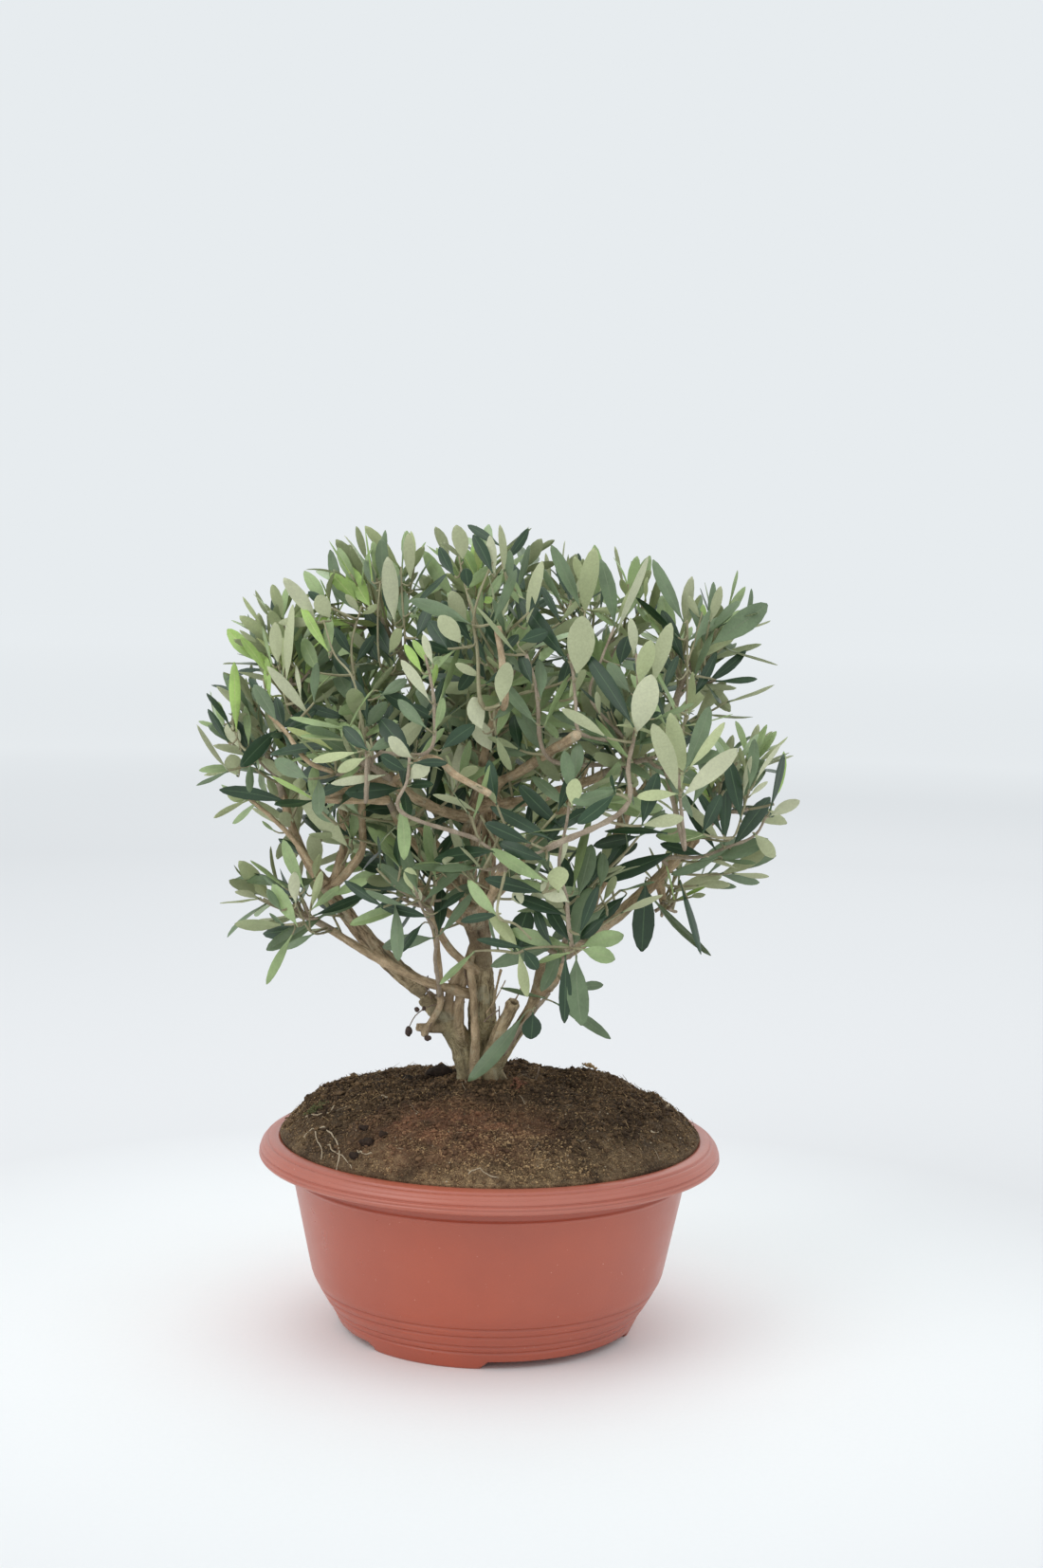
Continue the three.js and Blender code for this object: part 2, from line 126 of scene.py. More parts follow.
# faces is a list of arrays, one for each number of corners
def meshFromArrays(name, points, faces, slots=None):
    corners = np.concatenate([f.ravel() for f in faces])
    sizes = np.concatenate([np.full(len(f), f.shape[1]) for f in faces])
    mesh = bpy.data.meshes.new(name)
    mesh.vertices.add(len(points))
    mesh.vertices.foreach_set("co", (np.asarray(points) * mm).astype(np.float32).ravel())
    mesh.loops.add(len(corners))
    mesh.loops.foreach_set("vertex_index", corners.astype(np.int32))
    mesh.polygons.add(len(sizes))
    mesh.polygons.foreach_set("loop_start", (np.cumsum(sizes) - sizes).astype(np.int32))
    if slots is not None:
        mesh.polygons.foreach_set("material_index", np.concatenate(slots).astype(np.int32))
    mesh.update(calc_edges=True)
    return mesh


def readPoints(mesh, what="co"):
    values = np.empty(len(mesh.vertices) * 3, np.float32)
    mesh.vertices.foreach_get(what, values)
    return values.reshape(-1, 3).astype(float)


def writePoints(mesh, points):
    mesh.vertices.foreach_set("co", points.astype(np.float32).ravel())
    mesh.update()


def keepNumbers(mesh, name, values):
    kind = "FLOAT" if values.ndim == 1 else "FLOAT_VECTOR"
    kept = mesh.attributes.new(name, kind, "POINT")
    kept.data.foreach_set("value" if values.ndim == 1 else "vector", values.astype(np.float32).ravel())


# lines through space, read by share of their length

class Line:
    def __init__(self, place):
        self.place = place
        self.steps = np.linspace(0, 1, 201)
        points = np.array([place(step) for step in self.steps])
        self.reached = np.concatenate([[0], np.cumsum(np.linalg.norm(np.diff(points, axis=0), axis=1))])
        self.length = self.reached[-1]

    def at(self, share):
        return self.place(np.interp(share * self.length, self.reached, self.steps))

    def heading(self, share):
        step = np.interp(share * self.length, self.reached, self.steps)
        return unit(self.place(min(step + 0.0001, 1)) - self.place(max(step - 0.0001, 0)))


def arc(foot, middle, tip):
    return Line(lambda t: (1 - t) ** 2 * foot + 2 * t * (1 - t) * middle + t * t * tip)


def bowed(foot, tip, bow):
    return arc(foot, (foot + tip) / 2 + 2 * np.asarray(bow, float), tip)


def threaded(points):  # a smooth line through all the points
    p = [np.array(point, float) for point in points]
    p = [2 * p[0] - p[1], *p, 2 * p[-1] - p[-2]]

    def place(t):
        walk = t * (len(p) - 3)
        i = min(int(walk), len(p) - 4)
        w = walk - i
        a, b, c, d = p[i:i + 4]
        d0, d1, d2 = [math.sqrt(np.linalg.norm(v)) for v in (b - a, c - b, d - c)]
        t1 = ((b - a) / d0 - (c - a) / (d0 + d1) + (c - b) / d1) * d1
        t2 = ((c - b) / d1 - (d - b) / (d1 + d2) + (d - c) / d2) * d1
        return b + t1 * w + (-3 * b + 3 * c - 2 * t1 - t2) * w ** 2 + (2 * b - 2 * c + t1 + t2) * w ** 3
    return Line(place)


def radiusAt(radii, share):
    return np.interp(share, np.linspace(0, 1, len(radii)), radii)


def framesAlong(line, shares):  # points and a steady pair of side directions at each share
    points = np.array([line.at(share) for share in shares])
    headings = np.array([line.heading(share) for share in shares])
    side = unit(np.cross(headings[0], [0.31, 0.87, 0.38]))
    sides = []
    for heading in headings:
        side = unit(side - heading * (side @ heading))
        sides.append(side)
    sides = np.array(sides)
    return points, headings, sides, np.cross(headings, sides)


# shader groups

def makeGroup(name, inputs, outputs):
    group = bpy.data.node_groups.new(name, "ShaderNodeTree")
    for label, kind, default in inputs:
        socket = group.interface.new_socket(label, in_out="INPUT", socket_type=kind)
        socket.default_value = default
    for label, kind in outputs:
        group.interface.new_socket(label, in_out="OUTPUT", socket_type=kind)
    start = group.nodes.new("NodeGroupInput")
    end = group.nodes.new("NodeGroupOutput")
    return group, start, end


def addNoise(tree, vector, scale, detail=2.0, roughness=0.5):
    node = tree.nodes.new("ShaderNodeTexNoise")
    node.inputs["Detail"].default_value = detail
    node.inputs["Roughness"].default_value = roughness
    if isinstance(scale, (int, float)):
        node.inputs["Scale"].default_value = scale
    else:
        tree.links.new(scale, node.inputs["Scale"])
    tree.links.new(vector, node.inputs["Vector"])
    return node.outputs["Fac"]


def addMath(tree, kind, a, b=0.5, clamp=False):
    node = tree.nodes.new("ShaderNodeMath")
    node.operation = kind
    node.use_clamp = clamp
    for value, socket in zip((a, b), node.inputs):
        if isinstance(value, (int, float)):
            socket.default_value = value
        else:
            tree.links.new(value, socket)
    return node.outputs[0]


def addRange(tree, value, low, high, toLow=0.0, toHigh=1.0):
    node = tree.nodes.new("ShaderNodeMapRange")
    for label, number in zip(("From Min", "From Max", "To Min", "To Max"), (low, high, toLow, toHigh)):
        node.inputs[label].default_value = number
    tree.links.new(value, node.inputs["Value"])
    return node.outputs["Result"]


def addMix(tree, factor, a, b, kind="MIX"):
    node = tree.nodes.new("ShaderNodeMix")
    node.data_type = "RGBA"
    node.blend_type = kind
    for value, label in ((factor, 0), (a, 6), (b, 7)):
        socket = node.inputs[label]
        if isinstance(value, (int, float)):
            socket.default_value = value
        elif isinstance(value, tuple):
            socket.default_value = (*value, 1.0)
        else:
            tree.links.new(value, socket)
    return node.outputs[2]


def makeMottle():  # two colours in soft clouds, darker and lighter by a finer grain
    group, start, end = makeGroup("mottle", [
        ("Position", "NodeSocketVector", (0, 0, 0)),
        ("Colour", "NodeSocketColor", (0.5, 0.5, 0.5, 1)),
        ("Second colour", "NodeSocketColor", (0.4, 0.4, 0.4, 1)),
        ("Cloud scale", "NodeSocketFloat", 60.0),
        ("Grain scale", "NodeSocketFloat", 900.0),
        ("Grain", "NodeSocketFloat", 0.3),
    ], [("Colour", "NodeSocketColor"), ("Height", "NodeSocketFloat")])
    clouds = addNoise(group, start.outputs["Position"], start.outputs["Cloud scale"], 3.0, 0.55)
    grain = addNoise(group, start.outputs["Position"], start.outputs["Grain scale"], 3.0, 0.6)
    blend = addMix(group, addRange(group, clouds, 0.35, 0.65), start.outputs["Colour"],
                   start.outputs["Second colour"])
    shade = addMath(group, "MULTIPLY_ADD", addRange(group, grain, 0.25, 0.75, -1.0, 1.0),
                    start.outputs["Grain"])
    shade.node.inputs[2].default_value = 1.0
    tone = group.nodes.new("ShaderNodeCombineColor")
    for label in ("Red", "Green", "Blue"):
        group.links.new(shade, tone.inputs[label])
    group.links.new(addMix(group, 1.0, blend, tone.outputs["Color"], "MULTIPLY"), end.inputs["Colour"])
    group.links.new(grain, end.inputs["Height"])
    return group


mottle = makeMottle()


def startMaterial(name, specular=0.5, roughness=0.6):
    material = bpy.data.materials.new(name)
    material.use_nodes = True
    tree = material.node_tree
    shader = tree.nodes["Principled BSDF"]
    shader.inputs["Specular IOR Level"].default_value = specular
    shader.inputs["Roughness"].default_value = roughness
    place = tree.nodes.new("ShaderNodeTexCoord").outputs["Object"]
    return material, tree, shader, place


def addBump(tree, shader, height, distance, strength=1.0):
    bump = tree.nodes.new("ShaderNodeBump")
    bump.inputs["Distance"].default_value = distance
    bump.inputs["Strength"].default_value = strength
    tree.links.new(height, bump.inputs["Height"])
    tree.links.new(bump.outputs["Normal"], shader.inputs["Normal"])


def addMottle(tree, place, colour, second, cloudScale, grainScale, grain):
    node = tree.nodes.new("ShaderNodeGroup")
    node.node_tree = mottle
    tree.links.new(place, node.inputs["Position"])
    for label, value in (("Colour", colour), ("Second colour", second)):
        if isinstance(value, tuple):
            node.inputs[label].default_value = (*value, 1.0)
        else:
            tree.links.new(value, node.inputs[label])
    node.inputs["Cloud scale"].default_value = cloudScale
    node.inputs["Grain scale"].default_value = grainScale
    node.inputs["Grain"].default_value = grain
    return node.outputs["Colour"], node.outputs["Height"]


def mottled(name, colour, second, cloudScale=60.0, grainScale=900.0, grain=0.25, roughness=0.7, bump=0.0002,
            specular=0.5):
    material, tree, shader, place = startMaterial(name, specular, roughness)
    shown, height = addMottle(tree, place, colour, second, cloudScale, grainScale, grain)
    tree.links.new(shown, shader.inputs["Base Color"])
    addBump(tree, shader, height, bump)
    return material


# camera, light and floor

view = {
    "place": (0.01218, -1.2112, 0.3988),
    "pitch": 5.93,  # degrees below level
    "roll": 1.2,
    "lens": 56.59,
    "sky": (0.80, 0.838, 0.863),
    "skyStrength": 1.0,
    # painted light: the floor is paler next to the pot, lifting the pot's shadow
    "floor": (0.97, 0.99, 0.99),
    "floorPaintedLight": [  # further out: from, to, colour; painted light: darker in the middle distance, paler far out where the lamps don't reach
        (0.16, 0.42, (0.775, 0.775, 0.782)), (0.6, 1.2, (0.762, 0.765, 0.772)),
        (1.8, 3.2, (0.95, 0.95, 0.95)),
        (3.5, 7.0, (1.0, 1.0, 1.0)),
    ],
}

lamps = [
    {"name": "lampWindow", "place": (-1.4, -1.15, 1.5), "size": 1.5, "power": 12.0,
     "colour": (1.0, 1.0, 1.0)},
    {"name": "lampFill", "place": (1.5, -0.6, 1.2), "size": 1.4, "power": 2.5, "colour": (0.96, 0.98, 1.0)},
    {"name": "lampTop", "place": (0.0, 0.2, 2.1), "size": 1.6, "power": 6.0, "colour": (1.0, 1.0, 1.0)},
    {"name": "lampBehind", "place": (0.4, 1.7, 1.3), "size": 1.5, "power": 3.5, "colour": (1.0, 0.99, 0.97)},
]


def cameraAxes():  # ahead, to the right and up
    pitch, roll = math.radians(view["pitch"]), math.radians(view["roll"])
    ahead = np.array([0.0, math.cos(pitch), -math.sin(pitch)])
    right = np.array([1.0, 0.0, 0.0])
    top = np.cross(right, ahead)
    across = right * math.cos(roll) + top * math.sin(roll)
    upright = top * math.cos(roll) - right * math.sin(roll)
    return ahead, across, upright


sight = {  # limbs, leaves and roots at the front were read as pixels of the camera's picture
    "middle": (550, 827),  # pixels
    "focus": 2600,  # pixels
    "pixel": 0.455,  # mm on the plant
}


def sightTo(x, y):  # the way from the camera through a pixel
    ahead, across, upright = cameraAxes()
    toRight, down = x - sight["middle"][0], y - sight["middle"][1]
    return unit(ahead * sight["focus"] + across * toRight - upright * down)


def seenAt(x, y, depth):  # the point seen there whose y is depth
    eye, way = np.array(view["place"]), sightTo(x, y)
    point = (eye + (depth / 1000 - eye[1]) / way[1] * way) * 1000
    return [round(float(v), 1) for v in point]


def makeCamera():
    data = bpy.data.cameras.new("camera")
    data.sensor_width = 36
    data.lens = view["lens"]
    data.clip_start = 0.05
    camera = bpy.data.objects.new("camera", data)
    scene.collection.objects.link(camera)
    ahead, across, upright = cameraAxes()
    turn = Matrix((across, upright, -ahead)).transposed().to_4x4()
    camera.matrix_world = Matrix.Translation(view["place"]) @ turn
    scene.camera = camera


def makeLight():
    world = bpy.data.worlds.new("daylight")
    world.use_nodes = True
    background = world.node_tree.nodes["Background"]
    background.inputs["Color"].default_value = (*view["sky"], 1.0)
    background.inputs["Strength"].default_value = view["skyStrength"]
    scene.world = world
    for lamp in lamps:
        data = bpy.data.lights.new(lamp["name"], "AREA")
        data.size = lamp["size"]
        data.energy = lamp["power"]
        data.color = lamp["colour"]
        light = bpy.data.objects.new(lamp["name"], data)
        scene.collection.objects.link(light)
        aim = Vector((0, 0, 0.2)) - Vector(lamp["place"])
        light.matrix_world = Matrix.Translation(lamp["place"]) @ aim.to_track_quat("-Z",
                                                                                   "Y").to_matrix().to_4x4()
    scene.view_settings.view_transform = "Standard"
    scene.view_settings.look = "None"


def makeFloor():
    bm = bmesh.new()
    bmesh.ops.create_grid(bm, x_segments=8, y_segments=8, size=9.0)
    floor = bpy.data.objects.new("floor", meshFromBmesh("floor", bm))
    scene.collection.objects.link(floor)
    material, tree, shader, place = startMaterial("floorPaper", 0.0, 0.9)
    near, height = addMottle(tree, place, view["floor"], tuple(v * 0.985 for v in view["floor"]), 3.0,
                             400.0, 0.01)
    away = tree.nodes.new("ShaderNodeVectorMath")
    away.operation = "LENGTH"
    tree.links.new(place, away.inputs[0])
    # painted light: paler next to the pot and far out, evening out its shadow and the lamps' fall-off
    for start, end, colour in view["floorPaintedLight"]:
        near = addMix(tree, addRange(tree, away.outputs["Value"], start, end), near, colour)
    tree.links.new(near, shader.inputs["Base Color"])
    floor.data.materials.append(material)


makeCamera()
makeLight()
makeFloor()
print("camera, light and floor")


# pot

potSizes = {
    "steps": 216,
    "lipMiddle": (106.0, 88.0),
    "lipRadius": 9.0,
    # angle, depth, width in degrees
    "lipGrooves": [(18.0, 0.85, 3.0), (58.0, 0.75, 3.6), (5.0, 0.6, 2.2), (38.0, 0.3, 2.6)],
    "lowGrooves": [9.0, 12.6, 18.5, 23.0],
    "grooveDepth": 1.25,
    "notchAngle": 74.0,
    "notchTurn": -54.0,
    "notchHeight": 4.2,
}


def potOutline():
    curve = [(73.0, 0.7), (75.0, 4.9), (77.5, 10.0), (80.1, 14.0), (82.6, 18.0), (85.4, 23.0), (87.4, 26.9),
             (88.5, 30.0)]
    radii, heights = zip(*curve)
    outline = [(0, 4.5), (30, 4.5), (60, 4.5), (68.0, 4.5), (68.5, 4.0), (68.5, 0.6), (69.1, 0.0),
               (72.4, 0.0)]
    for height in np.arange(0.7, 30.1, 0.5):
        dent = sum(math.exp(-((height - groove) / 0.62) ** 2) for groove in potSizes["lowGrooves"])
        outline.append((np.interp(height, heights, radii) - potSizes["grooveDepth"] * dent, height))
    for height in np.arange(33.0, 76.5, 3.6):
        outline.append((88.5 + (height - 30.0) * (98.2 - 88.5) / (77.0 - 30.0), height))
    outline += [(98.15, 76.6), (98.25, 77.2), (98.85, 77.7), (99.0, 78.2), (98.85, 78.7), (98.25, 79.3),
                (98.2, 80.0),
                (98.2, 83.8), (98.4, 84.9), (99.3, 85.7), (100.6, 86.0), (106.0, 86.05), (111.4, 86.1),
                (113.2, 86.2), (114.2, 86.7), (114.7, 87.4)]
    middle, radius = potSizes["lipMiddle"], potSizes["lipRadius"]
    for angle in np.arange(0.0, 90.1, 2.0):
        dent = sum(depth * math.exp(-((angle - at) / wide) ** 2) for at, depth,
                   wide in potSizes["lipGrooves"])
        turn = math.radians(angle)
        outline.append((middle[0] + (radius - dent) * math.cos(turn),
                        middle[1] + (radius - dent) * math.sin(turn)))
    outline += [(105.2, 96.9), (104.3, 96.3), (103.6, 95.2), (102.2, 92.0), (96.0, 82.0), (85.6, 28.0),
                (77.8, 15.0),
                (70.8, 7.0), (40, 7.0), (0, 7.0)]
    return outline


def spun(outline, steps):
    bm = bmesh.new()
    corners = [bm.verts.new((radius * mm, 0, height * mm)) for radius, height in outline]
    edges = [bm.edges.new(pair) for pair in zip(corners, corners[1:])]
    bmesh.ops.spin(bm, geom=corners + edges, cent=(0, 0, 0), axis=(0, 0, 1), angle=2 * math.pi, steps=steps,
                   use_merge=True)
    bmesh.ops.remove_doubles(bm, verts=bm.verts, dist=2e-6)
    bmesh.ops.recalc_face_normals(bm, faces=bm.faces)
    return bm


def makePotPlastic():
    material, tree, shader, place = startMaterial("potPlastic", 0.85, 0.4)
    colour, height = addMottle(tree, place, (0.425, 0.066, 0.020), (0.385, 0.058, 0.018), 22.0, 1500.0, 0.05)
    dots = addRange(tree, addNoise(tree, place, 700.0, 1.0, 0.4), 0.77, 0.81)
    colour = addMix(tree, addMath(tree, "MULTIPLY", dots, 0.4), colour, (0.72, 0.42, 0.34))
    split = tree.nodes.new("ShaderNodeSeparateXYZ")
    tree.links.new(place, split.inputs[0])
    lipDustAndSheen = addRange(tree, split.outputs["Z"], 0.084, 0.088, 0.12, 0.42)  # the lip is paler: rubbed dust, and a painted sheen where its top faces the light
    dustAndSheen = addRange(tree, addNoise(tree, place, 9.0, 4.0, 0.6), 0.3, 0.75, 0.3, 1.0)
    colour = addMix(tree, addMath(tree, "MULTIPLY", dustAndSheen, lipDustAndSheen), colour, (0.60, 0.27, 0.215))
    tree.links.new(colour, shader.inputs["Base Color"])
    satin = addRange(tree, addNoise(tree, place, 35.0, 3.0, 0.6), 0.3, 0.7, 0.27, 0.39)
    tree.links.new(satin, shader.inputs["Roughness"])
    addBump(tree, shader, height, 0.00006)
    return material


def makePot():
    bm = spun(potOutline(), potSizes["steps"])
    half = potSizes["notchAngle"] / 2
    for vert in bm.verts:  # the gaps between the feet
        height = vert.co.z / mm
        if height < potSizes["notchHeight"] and vert.co.xy.length > 0.06:
            angle = math.degrees(math.atan2(vert.co.y, vert.co.x)) - potSizes["notchTurn"]
            away = abs((angle + 60) % 120 - 60)
            lift = 1 - float(ease(half - 3, half + 1, away))
            vert.co.z = max(height, potSizes["notchHeight"] * lift) * mm
    mesh = meshFromBmesh("pot", bm)
    addPiece("pot", mesh, ["pot"], [makePotPlastic()])
    print("pot", len(mesh.polygons))


makePot()


# soil

soilSizes = {
    "shoulder": 118.0,
    "rim": 97.0,
    "heap": 6.2,
    "heapWidth": 20.0,
    "level": 19.0,
    "steepness": 4.4,
    "edge": 105.7,
    "lumps": 1.6,
    "steps": 400,
    "ring": 1.15,
}

humps = [  # x, y, height, width
    (46, 18, 6.8, 10), (62, 38, 3.4, 14), (23, 6, -2.6, 8), (-5, 48, -3.6, 26),
    (-5, -13, 1.8, 8), (-18, -6, 1.4, 6), (15, 13, -3.6, 11), (-24, 16, -2.4, 12), (-58, -72, -2.2, 7),
    (84, 8, 2.6, 8), (-74, 26, 3.6, 15), (-52, 44, 2.8, 14),
    (-30, 14, 2.0, 9), (14, -14, 2.4, 8), (30, -20, 1.8, 10), (-58, -52, 1.8, 8), (80, -34, 2.4, 5),
    (-36, -66, 1.5, 7),
    (0, 62, 2.2, 16), (-88, 2, 2.0, 6), (56, -46, 1.2, 9),
]
clods = [  # x, y, half sizes, lift; the first few are black
    (-58, -71, 3.8, 3.2, 2.6, 3.0), (-63, -76, 2.8, 2.6, 2.0, 2.4), (-49, -70, 2.4, 2.2, 1.8, 2.2),
    (-59, -60, 2.8, 2.4, 2.0, 2.4),
    (-27, 13, 6.2, 5.0, 2.9, 3.0), (-43, 18, 4.0, 3.6, 1.8, 1.2), (-90, 10, 3.4, 3.2, 2.4, 2.0),
    (88, -22, 3.4, 3.2, 2.4, 1.0),
    (79, -36, 3.8, 3.2, 2.6, 1.4), (30, 70, 6.0, 5.0, 3.0, 1.5), (-40, 74, 7.0, 5.0, 3.0, 1.4),
    (-50, -64, 4.0, 3.4, 2.4, 1.0),
    (-36, -74, 3.4, 3.0, 2.2, 1.0), (-26, -80, 3.0, 2.6, 2.0, 0.9),
]


def moundHeight(x, y):
    radius = np.hypot(x, y)
    share = np.clip((radius - soilSizes["level"]) / (soilSizes["edge"] - soilSizes["level"]), 0, 1)
    rise = soilSizes["shoulder"] - soilSizes["rim"]
    height = soilSizes["rim"] + rise * (1 - share ** soilSizes["steepness"])
    out = np.maximum(radius - soilSizes["level"], 0)
    height = height + soilSizes["heap"] * np.exp(-(out / soilSizes["heapWidth"]) ** 2)
    for atX, atY, lift, wide in humps:
        height = height + lift * np.exp(-((x - atX) ** 2 + (y - atY) ** 2) / wide ** 2)
    inner = ease(6, 30, radius) * (1 - 0.75 * ease(92, 105, radius))
    height = height + inner * soilSizes["lumps"] * np.sin(x / 11 + 1) * np.cos(y / 13)
    flat = np.stack([x, y, np.zeros_like(x)], axis=1)
    height += inner * (1.3 * rough(flat, 15, 1) + 0.8 * rough(flat, 6.5, 2))
    fine = 1 - 0.5 * ease(98, 105, radius)
    height += fine * (0.85 * rough(flat, 3.0, 3) + 0.75 * np.abs(rough(flat, 1.6, 4)))
    return height


def makeEarthTone():  # reddish in a patch in front of the trunk
    group, start, end = makeGroup("earthTone", [
        ("Position", "NodeSocketVector", (0, 0, 0)),
        ("Colour", "NodeSocketColor", (0.2, 0.1, 0.05, 1)),
        ("Redness", "NodeSocketFloat", 0.6),
    ], [("Colour", "NodeSocketColor")])
    spot = group.nodes.new("ShaderNodeMapping")
    spot.inputs["Location"].default_value = (0.016, 0.096, 0.0)
    spot.inputs["Scale"].default_value = (1.0, 1.45, 0.0)
    group.links.new(start.outputs["Position"], spot.inputs["Vector"])
    away = group.nodes.new("ShaderNodeVectorMath")
    away.operation = "LENGTH"
    group.links.new(spot.outputs["Vector"], away.inputs[0])
    clouds = addRange(group, addNoise(group, start.outputs["Position"], 75.0, 3.0, 0.6), 0.28, 0.62)
    red = addMath(group, "MULTIPLY", addRange(group, away.outputs["Value"], 0.060, 0.018), clouds)
    red = addMath(group, "MULTIPLY", red, start.outputs["Redness"], True)
    group.links.new(addMix(group, red, start.outputs["Colour"], (0.40, 0.185, 0.105)), end.inputs["Colour"])
    return group


earthTone = makeEarthTone()


def addEarthTone(tree, place, colour, redness):
    node = tree.nodes.new("ShaderNodeGroup")
    node.node_tree = earthTone
    tree.links.new(place, node.inputs["Position"])
    tree.links.new(colour, node.inputs["Colour"])
    node.inputs["Redness"].default_value = redness
    return node.outputs["Colour"]


def earthen(name, colour, second, redness=0.6):
    material, tree, shader, place = startMaterial(name, 0.2, 0.95)
    shown, height = addMottle(tree, place, colour, second, 400.0, 1500.0, 0.5)
    tree.links.new(addEarthTone(tree, place, shown, redness), shader.inputs["Base Color"])
    addBump(tree, shader, height, 0.0004)
    return material


def makeSoilStuff():
    material, tree, shader, place = startMaterial("soilPeat", 0.25, 0.92)
    dark, height = addMottle(tree, place, (0.135, 0.084, 0.047), (0.048, 0.030, 0.018), 70.0, 1500.0, 0.85)
    tan = addRange(tree, addNoise(tree, place, 800.0, 4.0, 0.75), 0.53, 0.62)
    colour = addMix(tree, addMath(tree, "MULTIPLY", tan, 0.7), dark, (0.30, 0.195, 0.105))
    split = tree.nodes.new("ShaderNodeSeparateXYZ")
    tree.links.new(place, split.inputs[0])
    wide = addNoise(tree, place, 40.0, 4.0, 0.65)
    low = addRange(tree, split.outputs["Z"], 0.115, 0.104)
    crust = addMath(tree, "MULTIPLY", low, addRange(tree, wide, 0.36, 0.58), True)
    midway = addMath(tree, "MULTIPLY", addRange(tree, split.outputs["X"], 0.075, 0.035),
                     addRange(tree, split.outputs["X"], -0.064, -0.040))
    front = addMath(tree, "MULTIPLY", addRange(tree, split.outputs["Y"], 0.0, -0.06), midway)
    crust = addMath(tree, "MULTIPLY", crust, addMath(tree, "MULTIPLY_ADD", front, 0.65), True)
    chalk, _ = addMottle(tree, place, (0.44, 0.30, 0.16), (0.20, 0.13, 0.070), 330.0, 1600.0, 0.8)
    colour = addEarthTone(tree, place, addMix(tree, crust, colour, chalk), 0.6)
    white = addRange(tree, addNoise(tree, place, 900.0, 2.0, 0.6), 0.70, 0.76)
    colour = addMix(tree, addMath(tree, "MULTIPLY", white, 0.5), colour, (0.50, 0.44, 0.36))
    tree.links.new(colour, shader.inputs["Base Color"])
    addBump(tree, shader, addMath(tree, "ADD", height, addNoise(tree, place, 520.0, 4.0, 0.7)), 0.0021)
    return material


def makeSoil():
    mound = [(radius, 100.0) for radius in np.arange(0, soilSizes["edge"], soilSizes["ring"])]
    below = [(soilSizes["edge"] - 1.6, 95.6), (95.5, 82.0), (85.2, 28.0), (77.5, 15.2), (70.3, 7.4), (0, 7.4)]
    bm = spun(mound + [(soilSizes["edge"] - 0.8, 97.2)] + below, soilSizes["steps"])
    mesh = meshFromBmesh("soil", bm)
    points = readPoints(mesh) / mm
    top = points[:, 2] > 97.1
    points[top, 2] = moundHeight(points[top, 0], points[top, 1])
    flat = points[top]
    out = np.hypot(flat[:, 0], flat[:, 1])
    push = ease(20, 30, out) * (1 - ease(96, 103, out))
    flat[:, 0] += push * 0.6 * rough(flat, 2.4, 5)
    flat[:, 1] += push * 0.6 * rough(flat, 2.4, 6)
    points[top] = flat
    writePoints(mesh, points * mm)
    stuff = makeSoilStuff()
    addPiece("soil", mesh, ["soil"], [stuff])

    black = earthen("clodBlack", (0.040, 0.027, 0.020), (0.020, 0.014, 0.011), 0.1)
    for name, chosen, material in (("clodsBlack", clods[:6], black), ("clods", clods[6:], stuff)):
        bm = bmesh.new()
        for x, y, *half, lift in chosen:
            level = float(moundHeight(np.array([x]), np.array([y]))[0])
            place = Matrix.Translation((x, y, level + lift - 1.5))
            bmesh.ops.create_icosphere(bm, subdivisions=4, radius=1.0,
                                       matrix=place @ Matrix.Diagonal((*half, 1.0)))
        mesh = meshFromBmesh(name, bm)
        points, normals = readPoints(mesh), readPoints(mesh, "normal")
        swell = 1.5 * rough(points, 6.0, 7) + 0.9 * rough(points, 2.8, 8) + 0.5 * rough(points, 1.3, 9)
        writePoints(mesh, (points + normals * swell[:, None]) * mm)
        addPiece(name, mesh, [], [material])
    print("soil", len(mesh.polygons))


makeSoil()


# loose stuff on the soil

def scattered(count, seed, inner=17.0, outer=104.0, front=0.0):
    roll = dice(seed)
    spots = []
    while len(spots) < count:
        radius = math.sqrt(lerp((inner ** 2, outer ** 2), roll()))
        turn = roll() * 2 * math.pi
        if front and roll() < front and math.sin(turn) > -0.2:
            continue
        spots.append((radius * math.cos(turn), radius * math.sin(turn)))
    return np.array(spots)


def makeCrumbs(name, count, seed, sizes, material, outer=104.0, inner=17.0, front=0.0, patch=-2.0,
               around=None,
               bare=()):
    bm = bmesh.new()
    bmesh.ops.create_icosphere(bm, subdivisions=1, radius=1.0)
    ball = np.array([vert.co for vert in bm.verts])
    faces = np.array([[vert.index for vert in face.verts] for face in bm.faces])
    bm.free()
    spots = scattered(count, seed, inner, outer, front)
    spots = spots[rough(np.column_stack([spots, spots[:, 0] * 0]), 13.0, seed) > patch]  # in drifts
    random = np.random.default_rng(seed)
    if around:  # x, y and half widths of the drift they lie in
        away = np.hypot(*((spots - around[:2]) / around[2:]).T)
        spots = spots[random.random(len(spots)) < ease(1.3, 0.6, away)]
    for x, y, wide in bare:  # few of them there
        away = np.hypot(spots[:, 0] - x, spots[:, 1] - y)
        spots = spots[random.random(len(spots)) > 0.85 * np.exp(-(away / wide) ** 2)]
    count = len(spots)
    size = lerp(sizes, random.random(count) ** 2.5)
    heights = moundHeight(spots[:, 0], spots[:, 1]) + size * 0.35
    shape = ball[None] * random.uniform(0.6, 1.25, (count, len(ball), 1))
    shape = shape * random.uniform(0.7, 1.3, (count, 1, 3)) * [1, 1, 0.75]
    points = shape * size[:, None, None] + np.column_stack([spots, heights])[:, None]
    linked = faces[None] + (np.arange(count) * len(ball))[:, None, None]
    mesh = meshFromArrays(name, points.reshape(-1, 3), [linked.reshape(-1, 3)])
    addPiece(name, mesh, [], [material], smooth=False)


